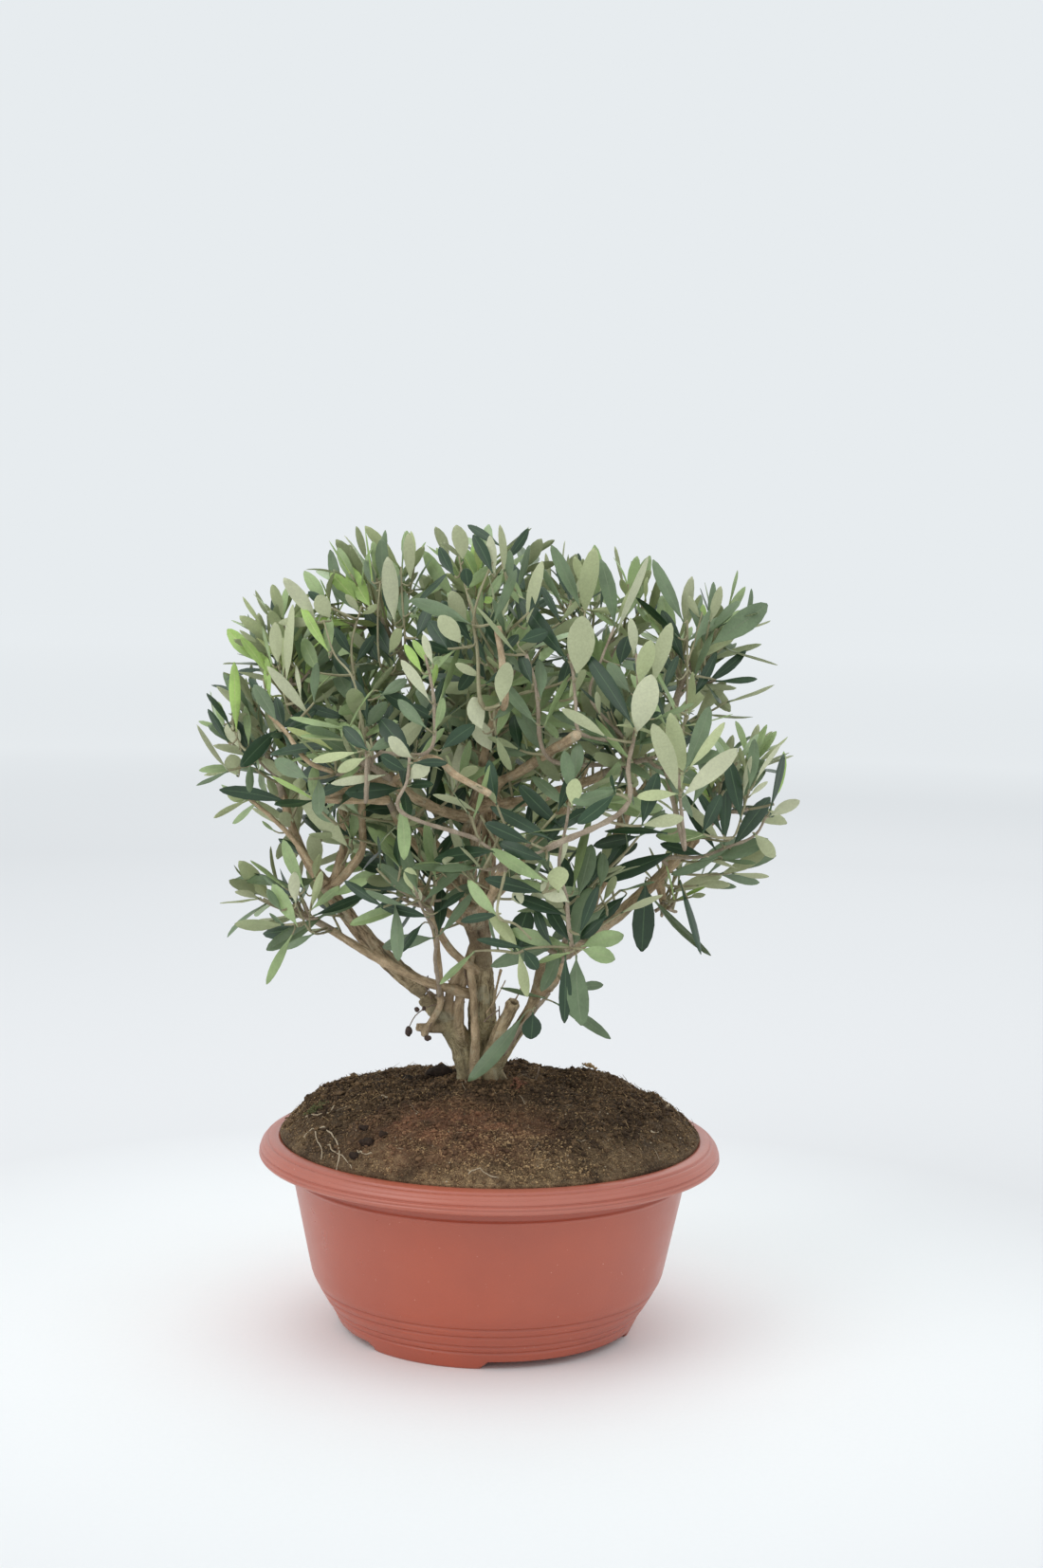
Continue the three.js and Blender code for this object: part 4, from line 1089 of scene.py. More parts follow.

# root, tip and width in pixels, upper or under side and kind; y of root and tip in mm where given
seenLeaves = [
    (294, 702, 287, 656, 14, "lG"), (287, 700, 274, 660, 5, "uL"), (302, 722, 305, 638, 12, "lG"),
    (299, 716, 299, 672, 4, "lL"), (250, 772, 245, 699, 12, "uY"), (243, 768, 225, 729, 6, "uD"),
    (240, 783, 219, 749, 8, "uD"), (238, 764, 227, 742, 10, "uL"), (246, 768, 246, 750, 5, "lP"),
    (252, 790, 241, 764, 17, "lP"), (262, 786, 260, 745, 9, "uL"), (241, 812, 203, 767, 6, "lP"),
    (250, 820, 243, 797, 19, "lG"), (263, 806, 264, 836, 9, "uG"), (285, 738, 278, 693, 9, "uY"),
    (328, 757, 282, 701, 12, "lP"), (292, 762, 270, 722, 14, "uG"), (290, 764, 292, 740, 17, "lL"),
    (275, 730, 262, 715, 8, "uD"), (300, 772, 290, 735, 12, "uD"), (334, 657, 304, 607, 15, "lP"),
    (346, 688, 313, 640, 10, "uY"), (344, 640, 326, 624, 10, "uD"), (350, 652, 332, 629, 17, "lG"),
    (346, 692, 346, 650, 11, "uL"), (336, 710, 315, 675, 16, "uL"), (332, 742, 329, 700, 10, "uG"),
    (318, 737, 312, 703, 5, "lP"), (392, 642, 362, 600, 19, "uY"), (377, 634, 350, 603, 14, "uY"),
    (404, 616, 402, 567, 14, "uG"), (401, 614, 396, 570, 11, "uL"), (392, 612, 385, 560, 3, "uY"),
    (370, 606, 347, 572, 3, "uY"), (398, 622, 384, 592, 10, "uG"), (417, 657, 407, 588, 17, "lP"),
    (415, 655, 402, 615, 11, "uD"), (417, 702, 388, 640, 17, "uD"), (424, 608, 426, 560, 3, "uL"),
    (432, 614, 431, 562, 12, "lG"), (434, 645, 472, 600, 8, "uD"), (436, 622, 451, 590, 4, "uG"),
    (425, 657, 424, 622, 13, "uG"), (440, 672, 453, 640, 14, "uD"), (496, 658, 436, 627, 14, "uG"),
    (492, 658, 471, 624, 16, "lG"), (472, 684, 452, 654, 16, "uD"), (487, 680, 465, 650, 18, "lG"),
    (488, 592, 486, 548, 16, "lG"), (479, 608, 460, 580, 11, "uD"), (527, 577, 494, 553, 9, "uD"),
    (520, 604, 503, 562, 12, "uD"), (521, 607, 516, 564, 10, "lP"), (531, 603, 533, 553, 8, "lG"),
    (495, 620, 489, 598, 13, "uD"), (535, 615, 540, 582, 9, "uG"), (520, 656, 545, 598, 9, "uG"),
    (545, 624, 562, 578, 7, "uG"), (556, 662, 563, 590, 11, "lG"), (558, 646, 573, 618, 10, "uD"),
    (548, 676, 578, 668, 14, "uD"), (600, 697, 545, 630, 17, "uD"), (593, 639, 568, 596, 6, "uG"),
    (592, 657, 570, 618, 9, "uD"), (612, 642, 585, 573, 15, "uG"), (602, 634, 586, 590, 10, "uD"),
    (613, 617, 609, 586, 10, "lL"), (617, 652, 621, 578, 19, "lL"), (634, 645, 638, 600, 5, "uD"),
    (647, 662, 641, 588, 16, "uG"), (650, 667, 682, 588, 8, "lP"), (650, 657, 669, 614, 8, "lL"),
    (607, 713, 619, 650, 27, "lG"), (453, 738, 424, 694, 11, "lP"), (446, 708, 427, 680, 9, "uY"),
    (452, 702, 438, 672, 8, "uY"), (456, 700, 446, 669, 8, "lP"), (457, 724, 459, 700, 6, "uY"),
    (463, 742, 487, 680, 6, "uL"), (455, 750, 470, 715, 8, "uD"), (458, 757, 432, 742, 11, "uD"),
    (450, 768, 418, 740, 12, "uG"), (458, 770, 472, 738, 9, "uL"), (465, 790, 498, 762, 15, "uD"),
    (571, 738, 573, 695, 12, "uG"), (556, 714, 508, 671, 15, "uG"), (566, 762, 524, 718, 14, "uG"),
    (574, 766, 600, 710, 7, "uL"), (590, 738, 597, 690, 13, "uD"), (562, 722, 548, 690, 13, "uD"),
    (508, 770, 495, 735, 19, "lP"), (518, 792, 502, 760, 19, "lP"), (522, 777, 537, 741, 10, "uL"),
    (528, 742, 532, 697, 18, "lG"), (641, 778, 594, 744, 11, "lG"), (548, 790, 540, 752, 14, "uD"),
    (720, 657, 686, 592, 17, "uG"), (716, 672, 673, 629, 7, "uD"), (722, 700, 699, 642, 15, "uD"),
    (748, 680, 813, 637, 24, "uG"), (738, 652, 725, 630, 8, "lG"), (733, 683, 748, 642, 7, "uG"),
    (728, 722, 751, 662, 6, "uG"), (730, 736, 760, 690, 12, "uD"), (689, 722, 704, 656, 16, "lG"),
    (674, 722, 687, 675, 17, "lL"), (671, 776, 687, 713, 25, "lP"), (668, 692, 671, 652, 10, "lP"),
    (655, 702, 660, 671, 15, "uD"), (668, 767, 622, 688, 16, "uD"), (665, 732, 637, 700, 14, "uG"),
    (713, 714, 696, 688, 10, "uD"), (690, 757, 733, 743, 6, "uL"), (700, 730, 712, 690, 9, "uD"),
    (716, 838, 695, 757, 18, "lG"), (718, 838, 713, 750, 19, "lL"), (722, 815, 755, 747, 16, "uG"),
    (726, 812, 768, 764, 10, "lL"), (720, 840, 780, 787, 18, "lP"), (735, 775, 722, 762, 5, "uD"),
    (791, 832, 801, 781, 12, "uG"), (798, 824, 818, 783, 6, "lP"), (811, 854, 829, 791, 8, "uD"),
    (784, 840, 790, 797, 6, "lP"), (790, 840, 808, 824, 6, "lP"), (771, 895, 811, 836, 18, "uD"),
    (812, 860, 843, 842, 13, "lP"), (795, 880, 820, 904, 14, "lG"), (764, 892, 767, 820, 14, "uD"),
    (782, 864, 769, 800, 18, "uD"), (762, 880, 737, 832, 9, "uD"), (762, 890, 727, 846, 9, "lG"),
    (755, 898, 716, 842, 14, "uD"), (742, 903, 695, 888, 12, "uD"), (757, 905, 711, 928, 10, "uG"),
    (680, 928, 677, 1004, 24, "uD"), (684, 943, 746, 1012, 8, "uG"), (716, 928, 744, 1006, 9, "uD"),
    (712, 898, 633, 932, 18, "uD"), (703, 880, 640, 866, 9, "uD"), (674, 882, 625, 890, 14, "uD"),
    (716, 838, 672, 838, 11, "lL"), (678, 870, 692, 815, 16, "uD"), (668, 803, 622, 760, 8, "uL"),
    (650, 833, 606, 851, 14, "uG"), (650, 838, 612, 873, 14, "uD"), (740, 880, 760, 838, 15, "uD"),
    (730, 850, 752, 800, 12, "uG"), (436, 800, 407, 782, 14, "lP"), (432, 823, 454, 805, 17, "lP"),
    (442, 798, 469, 768, 8, "uL"), (432, 795, 398, 762, 20, "uD"), (436, 804, 472, 802, 9, "uD"),
    (430, 812, 400, 800, 14, "uD"), (526, 836, 487, 817, 9, "uL"), (460, 870, 464, 812, 20, "uD"),
    (458, 873, 493, 834, 18, "uD"), (421, 846, 432, 906, 14, "uL"), (440, 941, 421, 891, 14, "uG"),
    (438, 946, 399, 911, 16, "uG"), (437, 942, 430, 915, 14, "lL"), (442, 952, 438, 936, 11, "lP"),
    (446, 952, 487, 908, 11, "uG"), (462, 986, 466, 937, 14, "uD"), (465, 986, 500, 943, 10, "uG"),
    (462, 962, 489, 938, 8, "uD"), (527, 965, 486, 970, 9, "uD"), (525, 966, 488, 934, 12, "uL"),
    (453, 969, 401, 954, 12, "uD"), (458, 990, 398, 993, 16, "uG"), (445, 975, 420, 1003, 10, "uD"),
    (578, 930, 515, 902, 13, "uL"), (573, 943, 511, 926, 14, "uD"), (580, 921, 557, 870, 20, "uG"),
    (584, 886, 519, 852, 14, "uD"), (560, 890, 511, 868, 14, "uD"), (575, 908, 525, 892, 14, "uD"),
    (600, 853, 561, 816, 13, "uG"), (592, 873, 545, 829, 16, "uD"), (603, 850, 606, 821, 16, "lL"),
    (603, 836, 595, 791, 14, "uG"), (606, 823, 610, 784, 15, "uG"), (606, 852, 646, 829, 14, "uG"),
    (589, 916, 594, 881, 8, "lP"), (588, 941, 587, 914, 21, "lL"), (600, 951, 570, 933, 18, "lP"),
    (604, 940, 620, 860, 10, "uL"), (611, 946, 625, 891, 18, "uG"), (605, 996, 616, 933, 20, "uG"),
    (612, 986, 629, 935, 11, "uD"), (597, 966, 543, 943, 14, "uD"), (602, 993, 574, 957, 14, "uD"),
    (603, 999, 535, 984, 15, "uL"), (612, 999, 656, 983, 18, "uL"), (612, 1001, 649, 1009, 16, "uL"),
    (602, 1004, 564, 1012, 6, "uL"), (586, 999, 517, 1012, 15, "uG"), (552, 1003, 566, 1023, 14, "uD"),
    (607, 1008, 606, 1081, 22, "uG"), (597, 1008, 598, 1079, 13, "uD"), (590, 1003, 577, 1048, 15, "uG"),
    (606, 1042, 636, 1035, 10, "uG"), (584, 1058, 647, 1090, 12, "uG"), (542, 1006, 556, 960, 25, "uD"),
    (553, 1069, 502, 1146, 17, "uG", -26, -25), (576, 1052, 528, 1042, 6, "uG"),
    (563, 1068, 562, 1097, 22, "uD"), (500, 1003, 463, 1040, 6, "uL"), (640, 965, 612, 990, 12, "uD"),
    (660, 945, 625, 975, 14, "uD"), (634, 935, 640, 900, 12, "uG"), (304, 847, 234, 824, 15, "uD"),
    (262, 842, 239, 839, 13, "lL"), (290, 876, 276, 867, 4, "uL"), (309, 873, 296, 857, 15, "lG"),
    (369, 897, 310, 838, 22, "lG"), (330, 843, 288, 817, 6, "uY"), (331, 846, 328, 806, 12, "uL"),
    (326, 823, 287, 803, 16, "uG"), (376, 794, 328, 803, 10, "lL"), (406, 818, 350, 828, 9, "lP"),
    (386, 853, 418, 850, 15, "uD"), (336, 916, 330, 878, 17, "lG"), (332, 926, 333, 900, 10, "lL"),
    (331, 906, 294, 885, 9, "uD"), (320, 936, 294, 889, 14, "uL"), (323, 942, 303, 905, 9, "uD"),
    (312, 953, 308, 921, 13, "lP"), (328, 958, 341, 917, 9, "lL"), (313, 976, 288, 934, 16, "uL"),
    (301, 936, 265, 904, 4, "uL"), (305, 946, 275, 927, 4, "uG"), (297, 960, 280, 938, 9, "uG"),
    (328, 960, 358, 935, 9, "uL"), (332, 966, 388, 943, 10, "uD"), (428, 955, 383, 944, 8, "uG"),
    (405, 956, 364, 930, 10, "uD"), (308, 985, 278, 1036, 10, "uL"), (300, 975, 282, 965, 5, "uG"),
    (330, 985, 300, 1003, 9, "uG"), (355, 870, 330, 848, 13, "uG"), (388, 792, 360, 768, 13, "uD"),
    (385, 795, 372, 762, 9, "uL"), (390, 792, 420, 775, 12, "uG"), (384, 800, 356, 812, 11, "lL"),
    (372, 720, 352, 690, 14, "uD"), (375, 745, 350, 700, 18, "uG"), (374, 700, 395, 668, 10, "uD"),
    (380, 645, 366, 625, 8, "lG"), (378, 645, 352, 618, 9, "uG"), (382, 648, 400, 640, 8, "lL"),
    (372, 690, 352, 662, 10, "uD"), (376, 742, 360, 755, 12, "uL"), (400, 700, 385, 672, 12, "uD"),
    (410, 690, 424, 662, 12, "lL"), (400, 728, 440, 745, 16, "uD"), (402, 735, 430, 715, 12, "uG"),
    (384, 770, 405, 738, 14, "uG"), (512, 700, 498, 672, 9, "uD"), (512, 722, 540, 700, 8, "uD"),
    (508, 715, 480, 700, 9, "lG"), (504, 700, 485, 730, 14, "uD"), (520, 760, 545, 738, 10, "uG"),
    (530, 690, 545, 668, 10, "uD"),
]


def frontDepth(x, y, share):  # y where that line of sight enters the masses, at a share of their reach
    eye, way = np.array(view["place"]) * 1000, sightTo(x, y)
    entries, passing = [], []
    for centre, reach in masses.values():
        start, step = (eye - centre) / reach, way / reach
        a, b, c = step @ step, 2 * start @ step, start @ start - share ** 2
        closest = -b / (2 * a)
        passing.append((np.linalg.norm(start + step * closest), (eye + way * closest)[1]))
        inside = b * b - 4 * a * c
        if inside > 0:
            entries.append((eye + way * ((-b - math.sqrt(inside)) / (2 * a)))[1])
    return min(entries) if entries else min(passing)[1]


def standSeen(rows):  # limbs or shoots in mm, and samples along them
    stood, samples = [], []
    for corners, depth, *radii in rows:
        if isinstance(depth, tuple):
            foot, tip = depth
            tip = frontDepth(*corners[-1], 1.0) if tip is None else tip
        else:
            foot, tip = (frontDepth(*corner, depth) for corner in (corners[0], corners[-1]))
            tip = foot + max(-14, min(18, tip - foot))
        run = np.cumsum([0] + [math.dist(a, b) for a, b in zip(corners, corners[1:])])
        depths = foot + (tip - foot) * (run / run[-1])
        points = [seenAt(*corner, deep) for corner, deep in zip(corners, depths)]
        for start, end, near, far in zip(corners, corners[1:], points, points[1:]):
            for share in np.linspace(0, 1, 12):
                samples.append([a + (b - a) * share for a, b in zip((*start, near[1]), (*end, far[1]))])
        stood.append(([tuple(round(v) for v in point) for point in points], *radii))
    return stood, samples


def steady(row, place):  # a number from 0 to 1 that belongs to a row
    value = math.sin(row * 12.9898 + place * 78.233) * 43758.5453
    return value - math.floor(value)


# by kind: root, tip, width, degrees that the upper side is turned from the front
def standLeaves(rows, samples):
    stood = {kind: [] for kind in ("leavesDeep", "leavesGrey", "leavesLight", "leavesYoung", "leavesPale")}
    for i, (rootX, rootY, tipX, tipY, width, mark, *depths) in enumerate(rows):
        away = np.hypot(samples[:, 0] - rootX, samples[:, 1] - rootY)
        depth = samples[away.argmin(), 2]
        if away.min() > 14:
            depth = 0.5 * depth + 0.5 * frontDepth(rootX, rootY, 0.8)
        upperSide = mark[0] == "u"
        seen = math.hypot(tipX - rootX, tipY - rootY) * sight["pixel"]
        lean = (0.5 if upperSide else -0.42) * (0.2 + steady(i, 1)) * seen
        depth = max(depth + (steady(i, 5) - 0.5) * 22, -128 - min(lean, 0))
        if tipY > rootY + 15 and upperSide:
            lean = -0.1 * seen
        if depths:
            depth, lean = depths[0], depths[1] - depths[0]
        root, tip = seenAt(rootX, rootY, depth), seenAt(tipX, tipY, depth + lean)
        length = math.dist(root, tip)
        wide = width * sight["pixel"]
        turn = 0 if upperSide else 180
        if wide / length < 0.155:  # seen from its edge
            full = 0.21 * length
            turn += (1 if steady(i, 2) > 0.5 else -1) * math.degrees(math.acos(max(0.15, wide / full)))
        else:
            full = wide
            turn += (steady(i, 3) - 0.5) * 50
        kind = next(name for name in stood if name[6] == mark[1])
        stood[kind].append((*(int(round(v)) for v in (*root, *tip)), round(full, 1), int(round(turn))))
    return stood


bareLimbs, limbSpots = standSeen(seenLimbs)
placedShoots, shootSpots = standSeen(seenShoots)
placedLeaves = standLeaves(seenLeaves, np.array(limbSpots + shootSpots))

dryFruit = [  # middle, half sizes
    ((-41, -13, 150.4), (1.7, 1.7, 2.6)), ((-31.5, -12, 175.6), (2.0, 1.5, 1.1)),
    ((-37, -13, 161.4), (1.4, 1.2, 1.2)), ((-31.5, -12, 147), (1.9, 1.4, 1.5)),
    ((-33.6, -12, 161.8), (1.1, 1.1, 1.3)),
]

heavy = ["trunk", "bough_left", "bough_front", "bough_leader", "bough_right", "bough_back", "bough_right_up",
         "bough_far_right"]

limbs = {"trunk": (threaded([trunk["foot"], *trunk["route"]]), trunk["radii"])}
for name, parent, at, goal, bow, radii in boughs:
    foot = limbs[parent][0].at(at)
    if isinstance(goal, str):
        centre, reach = masses[goal]
        inward = foot - centre
        depth = min(growth["entry"] * reach[2], np.linalg.norm(inward) - growth["shortestBough"])
        goal = centre + unit(inward) * depth
    limbs[name] = (bowed(foot, np.array(goal, float), bow), radii)


def sweepTube(bm, line, radii, spacing, sides=14, collar=0.0):
    count = max(4, math.ceil(line.length / spacing))
    shares = np.linspace(0, 1, count + 1)
    points, headings, first, second = framesAlong(line, shares)

    def ringPlace(step):
        radius = radiusAt(radii, shares[step]) * (1 + collar * math.exp(-shares[step] * line.length / 4.5))
        place = Matrix((first[step], second[step], headings[step])).transposed().to_4x4()
        return Matrix.Translation(points[step]) @ place @ Matrix.Diagonal((radius, radius, 1, 1))

    placed = ringPlace(0)
    ring = bmesh.ops.create_circle(bm, cap_ends=True, radius=1.0, segments=sides, matrix=placed)["verts"]
    edges = list({edge for vert in ring for edge in vert.link_edges})
    for step in range(1, count + 1):
        made = bmesh.ops.extrude_edge_only(bm, edges=edges)["geom"]
        ring = [item for item in made if isinstance(item, bmesh.types.BMVert)]
        inRing = set(ring)
        edges = [item for item in made if isinstance(item, bmesh.types.BMEdge) and set(item.verts) <= inRing]
        ahead = ringPlace(step)
        bmesh.ops.transform(bm, matrix=ahead @ placed.inverted(), verts=ring)
        placed = ahead
    bmesh.ops.edgeloop_fill(bm, edges=edges)


def fused(name, bm, voxel):  # grown together into one skin
    bmesh.ops.recalc_face_normals(bm, faces=bm.faces)
    bmesh.ops.scale(bm, vec=(mm, mm, mm), verts=bm.verts)
    rawMesh = meshFromBmesh(name + "Raw", bm)
    raw = bpy.data.objects.new(name + "Raw", rawMesh)
    scene.collection.objects.link(raw)
    skin = raw.modifiers.new("skin", "REMESH")
    skin.mode = "VOXEL"
    skin.voxel_size = voxel * mm
    grown = raw.evaluated_get(bpy.context.evaluated_depsgraph_get())
    mesh = bpy.data.meshes.new_from_object(grown)
    mesh.name = name
    mesh.materials.clear()
    bpy.data.objects.remove(raw)
    bpy.data.meshes.remove(rawMesh)
    bm = bmesh.new()
    bm.from_mesh(mesh)
    bmesh.ops.smooth_vert(bm, verts=bm.verts, factor=0.5, use_axis_x=True, use_axis_y=True, use_axis_z=True)
    bmesh.ops.smooth_vert(bm, verts=bm.verts, factor=0.5, use_axis_x=True, use_axis_y=True, use_axis_z=True)
    bm.to_mesh(mesh)
    bm.free()
    return mesh


bark = {
    "furrow": 0.15,  # depth as a share of the limb's radius
    "ridgeAcross": 1.9,
    "ridgeAlong": 0.2,  # how much the pattern is drawn out along the limb
    "lumps": 0.16,
}


def barkRelief(mesh, lines):
    points, normals = readPoints(mesh) / mm, readPoints(mesh, "normal")
    total, relief = np.zeros(len(points)), np.zeros(len(points))
    grainPlace, thickness = np.zeros((len(points), 3)), np.zeros(len(points))
    for number, (line, radii) in enumerate(lines):
        shares = np.linspace(0, 1, max(6, int(line.length / 1.5)))
        middles, headings, first, second = framesAlong(line, shares)
        radius = radiusAt(radii, shares)
        low, high = middles.min(0) - radius.max() * 2.2, middles.max(0) + radius.max() * 2.2
        near = np.flatnonzero(np.all((points > low) & (points < high), axis=1))
        if not len(near):
            continue
        p = points[near]
        away = np.linalg.norm(p[:, None] - middles[None], axis=2)
        closest = (away - radius[None]).argmin(axis=1)
        outside = np.maximum(away[np.arange(len(p)), closest] - radius[closest], 0)
        weight = np.exp(-outside / 0.9) * (1 if number else 0.6)
        off = p - middles[closest]
        along = shares[closest] * line.length + np.einsum("ij,ij->i", off, headings[closest])
        local = np.column_stack([np.einsum("ij,ij->i", off, first[closest]),
                                 np.einsum("ij,ij->i", off, second[closest]),
                                 along * bark["ridgeAlong"]]) + number * 37.0
        ridge = 1 - 2 * np.abs(rough(local, bark["ridgeAcross"], 31)) + 0.5 * rough(local, 0.9, 32)
        lumps = rough(local * [1, 1, 4], 7.0, 33)
        limb = radius[closest]
        height = limb ** 0.8 * (bark["furrow"] * 1.4 * ridge + bark["lumps"] * lumps)
        total[near] += weight
        relief[near] += weight * height
        grainPlace[near] += weight[:, None] * local
        thickness[near] += weight * limb
    total = np.maximum(total, 1e-6)
    relief = np.clip(relief / total, -1.6, 1.4)
    points += normals * relief[:, None]
    for middle, facing, radius in cuts:
        facing = unit(np.array(facing, float))
        off = points - np.array(middle)
        ahead = off @ facing
        across = np.linalg.norm(off - ahead[:, None] * facing, axis=1)
        inside = 1 - ease(radius * 0.35, radius * 0.7, across)
        deep = inside * (np.abs(ahead) < 2.4) * (normals @ facing > 0.2)
        points -= facing * (1.9 * deep)[:, None]
        # the lowered relief also darkens the sawn hollow in the bark material: painted shade
        relief -= 1.5 * deep
    writePoints(mesh, points * mm)
    keepNumbers(mesh, "grainPlace", grainPlace / total[:, None])
    keepNumbers(mesh, "age", ease(1.6, 5.2, thickness / total))
    keepNumbers(mesh, "relief", relief)


def readAttribute(tree, name, output):
    node = tree.nodes.new("ShaderNodeAttribute")
    node.attribute_name = name
    return node.outputs[output]


def makeBark():
    material, tree, shader, place = startMaterial("bark", 0.3, 0.82)
    grainPlace = readAttribute(tree, "grainPlace", "Vector")
    split = tree.nodes.new("ShaderNodeSeparateXYZ")
    tree.links.new(place, split.inputs[0])
    high = addRange(tree, split.outputs["Z"], 0.155, 0.205)
    lowWood, height = addMottle(tree, place, (0.54, 0.45, 0.255), (0.29, 0.235, 0.13), 150.0, 1100.0, 0.35)
    highWood, _ = addMottle(tree, place, (0.50, 0.375, 0.25), (0.28, 0.195, 0.125), 150.0, 1100.0, 0.35)
    old = addMix(tree, high, lowWood, highWood)
    young, _ = addMottle(tree, place, (0.60, 0.445, 0.28), (0.38, 0.275, 0.165), 150.0, 1300.0, 0.2)
    age = readAttribute(tree, "age", "Fac")
    colour = addMix(tree, age, young, old)
    worn = addRange(tree, age, 0.0, 0.6, 0.35, 1.0)  # thin limbs are smoother
    streaks = addNoise(tree, grainPlace, 0.7, 4.0, 0.72)
    # partly painted light: dark streaks lie in the low lines of the bump as painted shade, pale ones on its
    # ridges as painted highlight, over the bark's own streaks
    dark = addMath(tree, "MULTIPLY", addRange(tree, streaks, 0.49, 0.38, 0.0, 0.85), worn)
    colour = addMix(tree, dark, colour, (0.10, 0.068, 0.038))
    colour = addMix(tree, addRange(tree, streaks, 0.54, 0.66, 0.0, 0.75), colour, (0.60, 0.50, 0.34))
    lichen = addRange(tree, addNoise(tree, place, 95.0, 5.0, 0.65), 0.55, 0.66)
    colour = addMix(tree, addMath(tree, "MULTIPLY", lichen, 0.5), colour, (0.50, 0.48, 0.34))
    # painted shade: the bark is darkened by its depth in the furrows and in the sawn hollow
    deep = addRange(tree, readAttribute(tree, "relief", "Fac"), 0.0, -0.75, 0.0, 0.9)
    colour = addMix(tree, addMath(tree, "MULTIPLY", deep, worn), colour, (0.055, 0.038, 0.024))
    # the foot turns soil brown low down: soil dust, and painted shade where the trunk meets the soil
    soilDustAndShade = addMath(tree, "MULTIPLY_ADD", streaks, -0.014)
    tree.links.new(split.outputs["Z"], soilDustAndShade.node.inputs[2])
    colour = addMix(tree, addRange(tree, soilDustAndShade, 0.121, 0.113, 0.0, 0.85), colour, (0.13, 0.082, 0.046))
    tree.links.new(colour, shader.inputs["Base Color"])
    addBump(tree, shader, addMath(tree, "ADD", streaks, height), 0.0006)
    return material


def makeWood():
    stuff = makeBark()
    trunkLines = [(threaded(corners), radii) for corners, radii in strands]
    for name in heavy[1:]:
        line, radii = limbs[name]
        start = ownStart.get(name, 0)
        shown = threaded([line.at(share) for share in np.linspace(start, 1, 8)])
        trunkLines.append((shown, [radius * (0.8 if start > 0.5 else 1) for radius in radii]))
    bm = bmesh.new()
    for line, radii in trunkLines:
        sweepTube(bm, line, radii, 2.2)
    mesh = fused("trunk", bm, 0.59)
    barkRelief(mesh, trunkLines)
    addPiece("trunk", mesh, heavy, [stuff])
    print("trunk", len(mesh.polygons))

    light = [name for name in limbs if name not in heavy]
    bm = bmesh.new()
    for name in light:
        sweepTube(bm, *limbs[name], 2.0, 12, collar=0.5)
    mesh = fused("boughs", bm, 0.56)
    barkRelief(mesh, [limbs[name] for name in light])
    addPiece("boughs", mesh, light, [stuff])
    print("boughs", len(mesh.polygons))

    bm = bmesh.new()
    lines, ends, stalks = [], [], []
    wood = np.concatenate([[line.at(share) for share in np.linspace(0, 1, 60)] for line, _ in limbs.values()])
    for corners, *radii in bareLimbs:
        away = np.linalg.norm(wood - np.array(corners[0]), axis=1) + 10 * (wood[:, 2] > corners[0][2] - 2)
        nearest = wood[away.argmin()]
        line = threaded([nearest, *corners])
        lines.append((line, radii))
        sweepTube(bm, line, radii, 2.0, 12, collar=0.3)
        if radii[1] > 1.2:  # sawn off
            ends.append(([line.at(1) - line.heading(1), line.at(1) + line.heading(1) * 0.3],
                         [radii[1] * 0.97] * 2))
    for corners, radius in snags:
        line = threaded(corners)
        if radius > 0.45:
            lines.append((line, [radius, radius]))
            sweepTube(bm, line, [radius * 1.25, radius, radius * 0.9, radius * 1.1], 2.0, 8)
        else:
            path = np.array([line.at(share) for share in np.linspace(0, 1, 10)])
            stalks.append((path, np.linspace(1.3, 0.9, 10) * radius))
    mesh = fused("cutLimbs", bm, 0.5)
    barkRelief(mesh, lines)
    addPiece("cutLimbs", mesh, [], [stuff])
    sawn = mottled("sawnWood", (0.62, 0.50, 0.34), (0.50, 0.37, 0.23), 300, 1800, 0.3, 0.8, 0.0002, 0.3)
    addPiece("sawnEnds", tubes("sawnEnds", ends, 12), [], [sawn], smooth=False)
    dry = mottled("dryStalk", (0.30, 0.225, 0.16), (0.17, 0.12, 0.085), 300, 1500, 0.4, 0.8, 0.0002, 0.3)
    addPiece("dryStalks", tubes("dryStalks", stalks, 7), [], [dry])
    print("cut limbs", len(mesh.polygons))

    bm = bmesh.new()
    for middle, half in dryFruit:
        bmesh.ops.create_icosphere(bm, subdivisions=3, radius=1.0,
                                   matrix=Matrix.Translation(middle) @ Matrix.Diagonal((*half, 1)))
    mesh = meshFromBmesh("dryFruit", bm)
    points, normals = readPoints(mesh), readPoints(mesh, "normal")
    writePoints(mesh, (points + normals * (0.35 * rough(points, 0.9, 41))[:, None]) * mm)
    husk = mottled("dryHusk", (0.045, 0.030, 0.026), (0.085, 0.050, 0.035), 500, 2000, 0.4, 0.8, 0.0002)
    addPiece("dryFruit", mesh, [], [husk])


makeWood()


# twigs and leaves, grown by the same rule and carried to finer twigs

leafForm = {
    "stations": [0.0, 0.07, 0.16, 0.30, 0.46, 0.62, 0.79, 0.93, 1.0],
    "halfWidths": [0.10, 0.085, 0.32, 0.69, 0.93, 1.0, 0.85, 0.50, 0.10],
    "halfThickness": [0.55, 0.45, 0.26, 0.2, 0.18, 0.17, 0.15, 0.12, 0.07],
    "topAcross": [-1.0, -0.52, -0.06, 0.06, 0.52, 1.0],
    "underAcross": [-0.08, 0.08],
    "width": (0.20, 0.29),  # as a share of the length
}

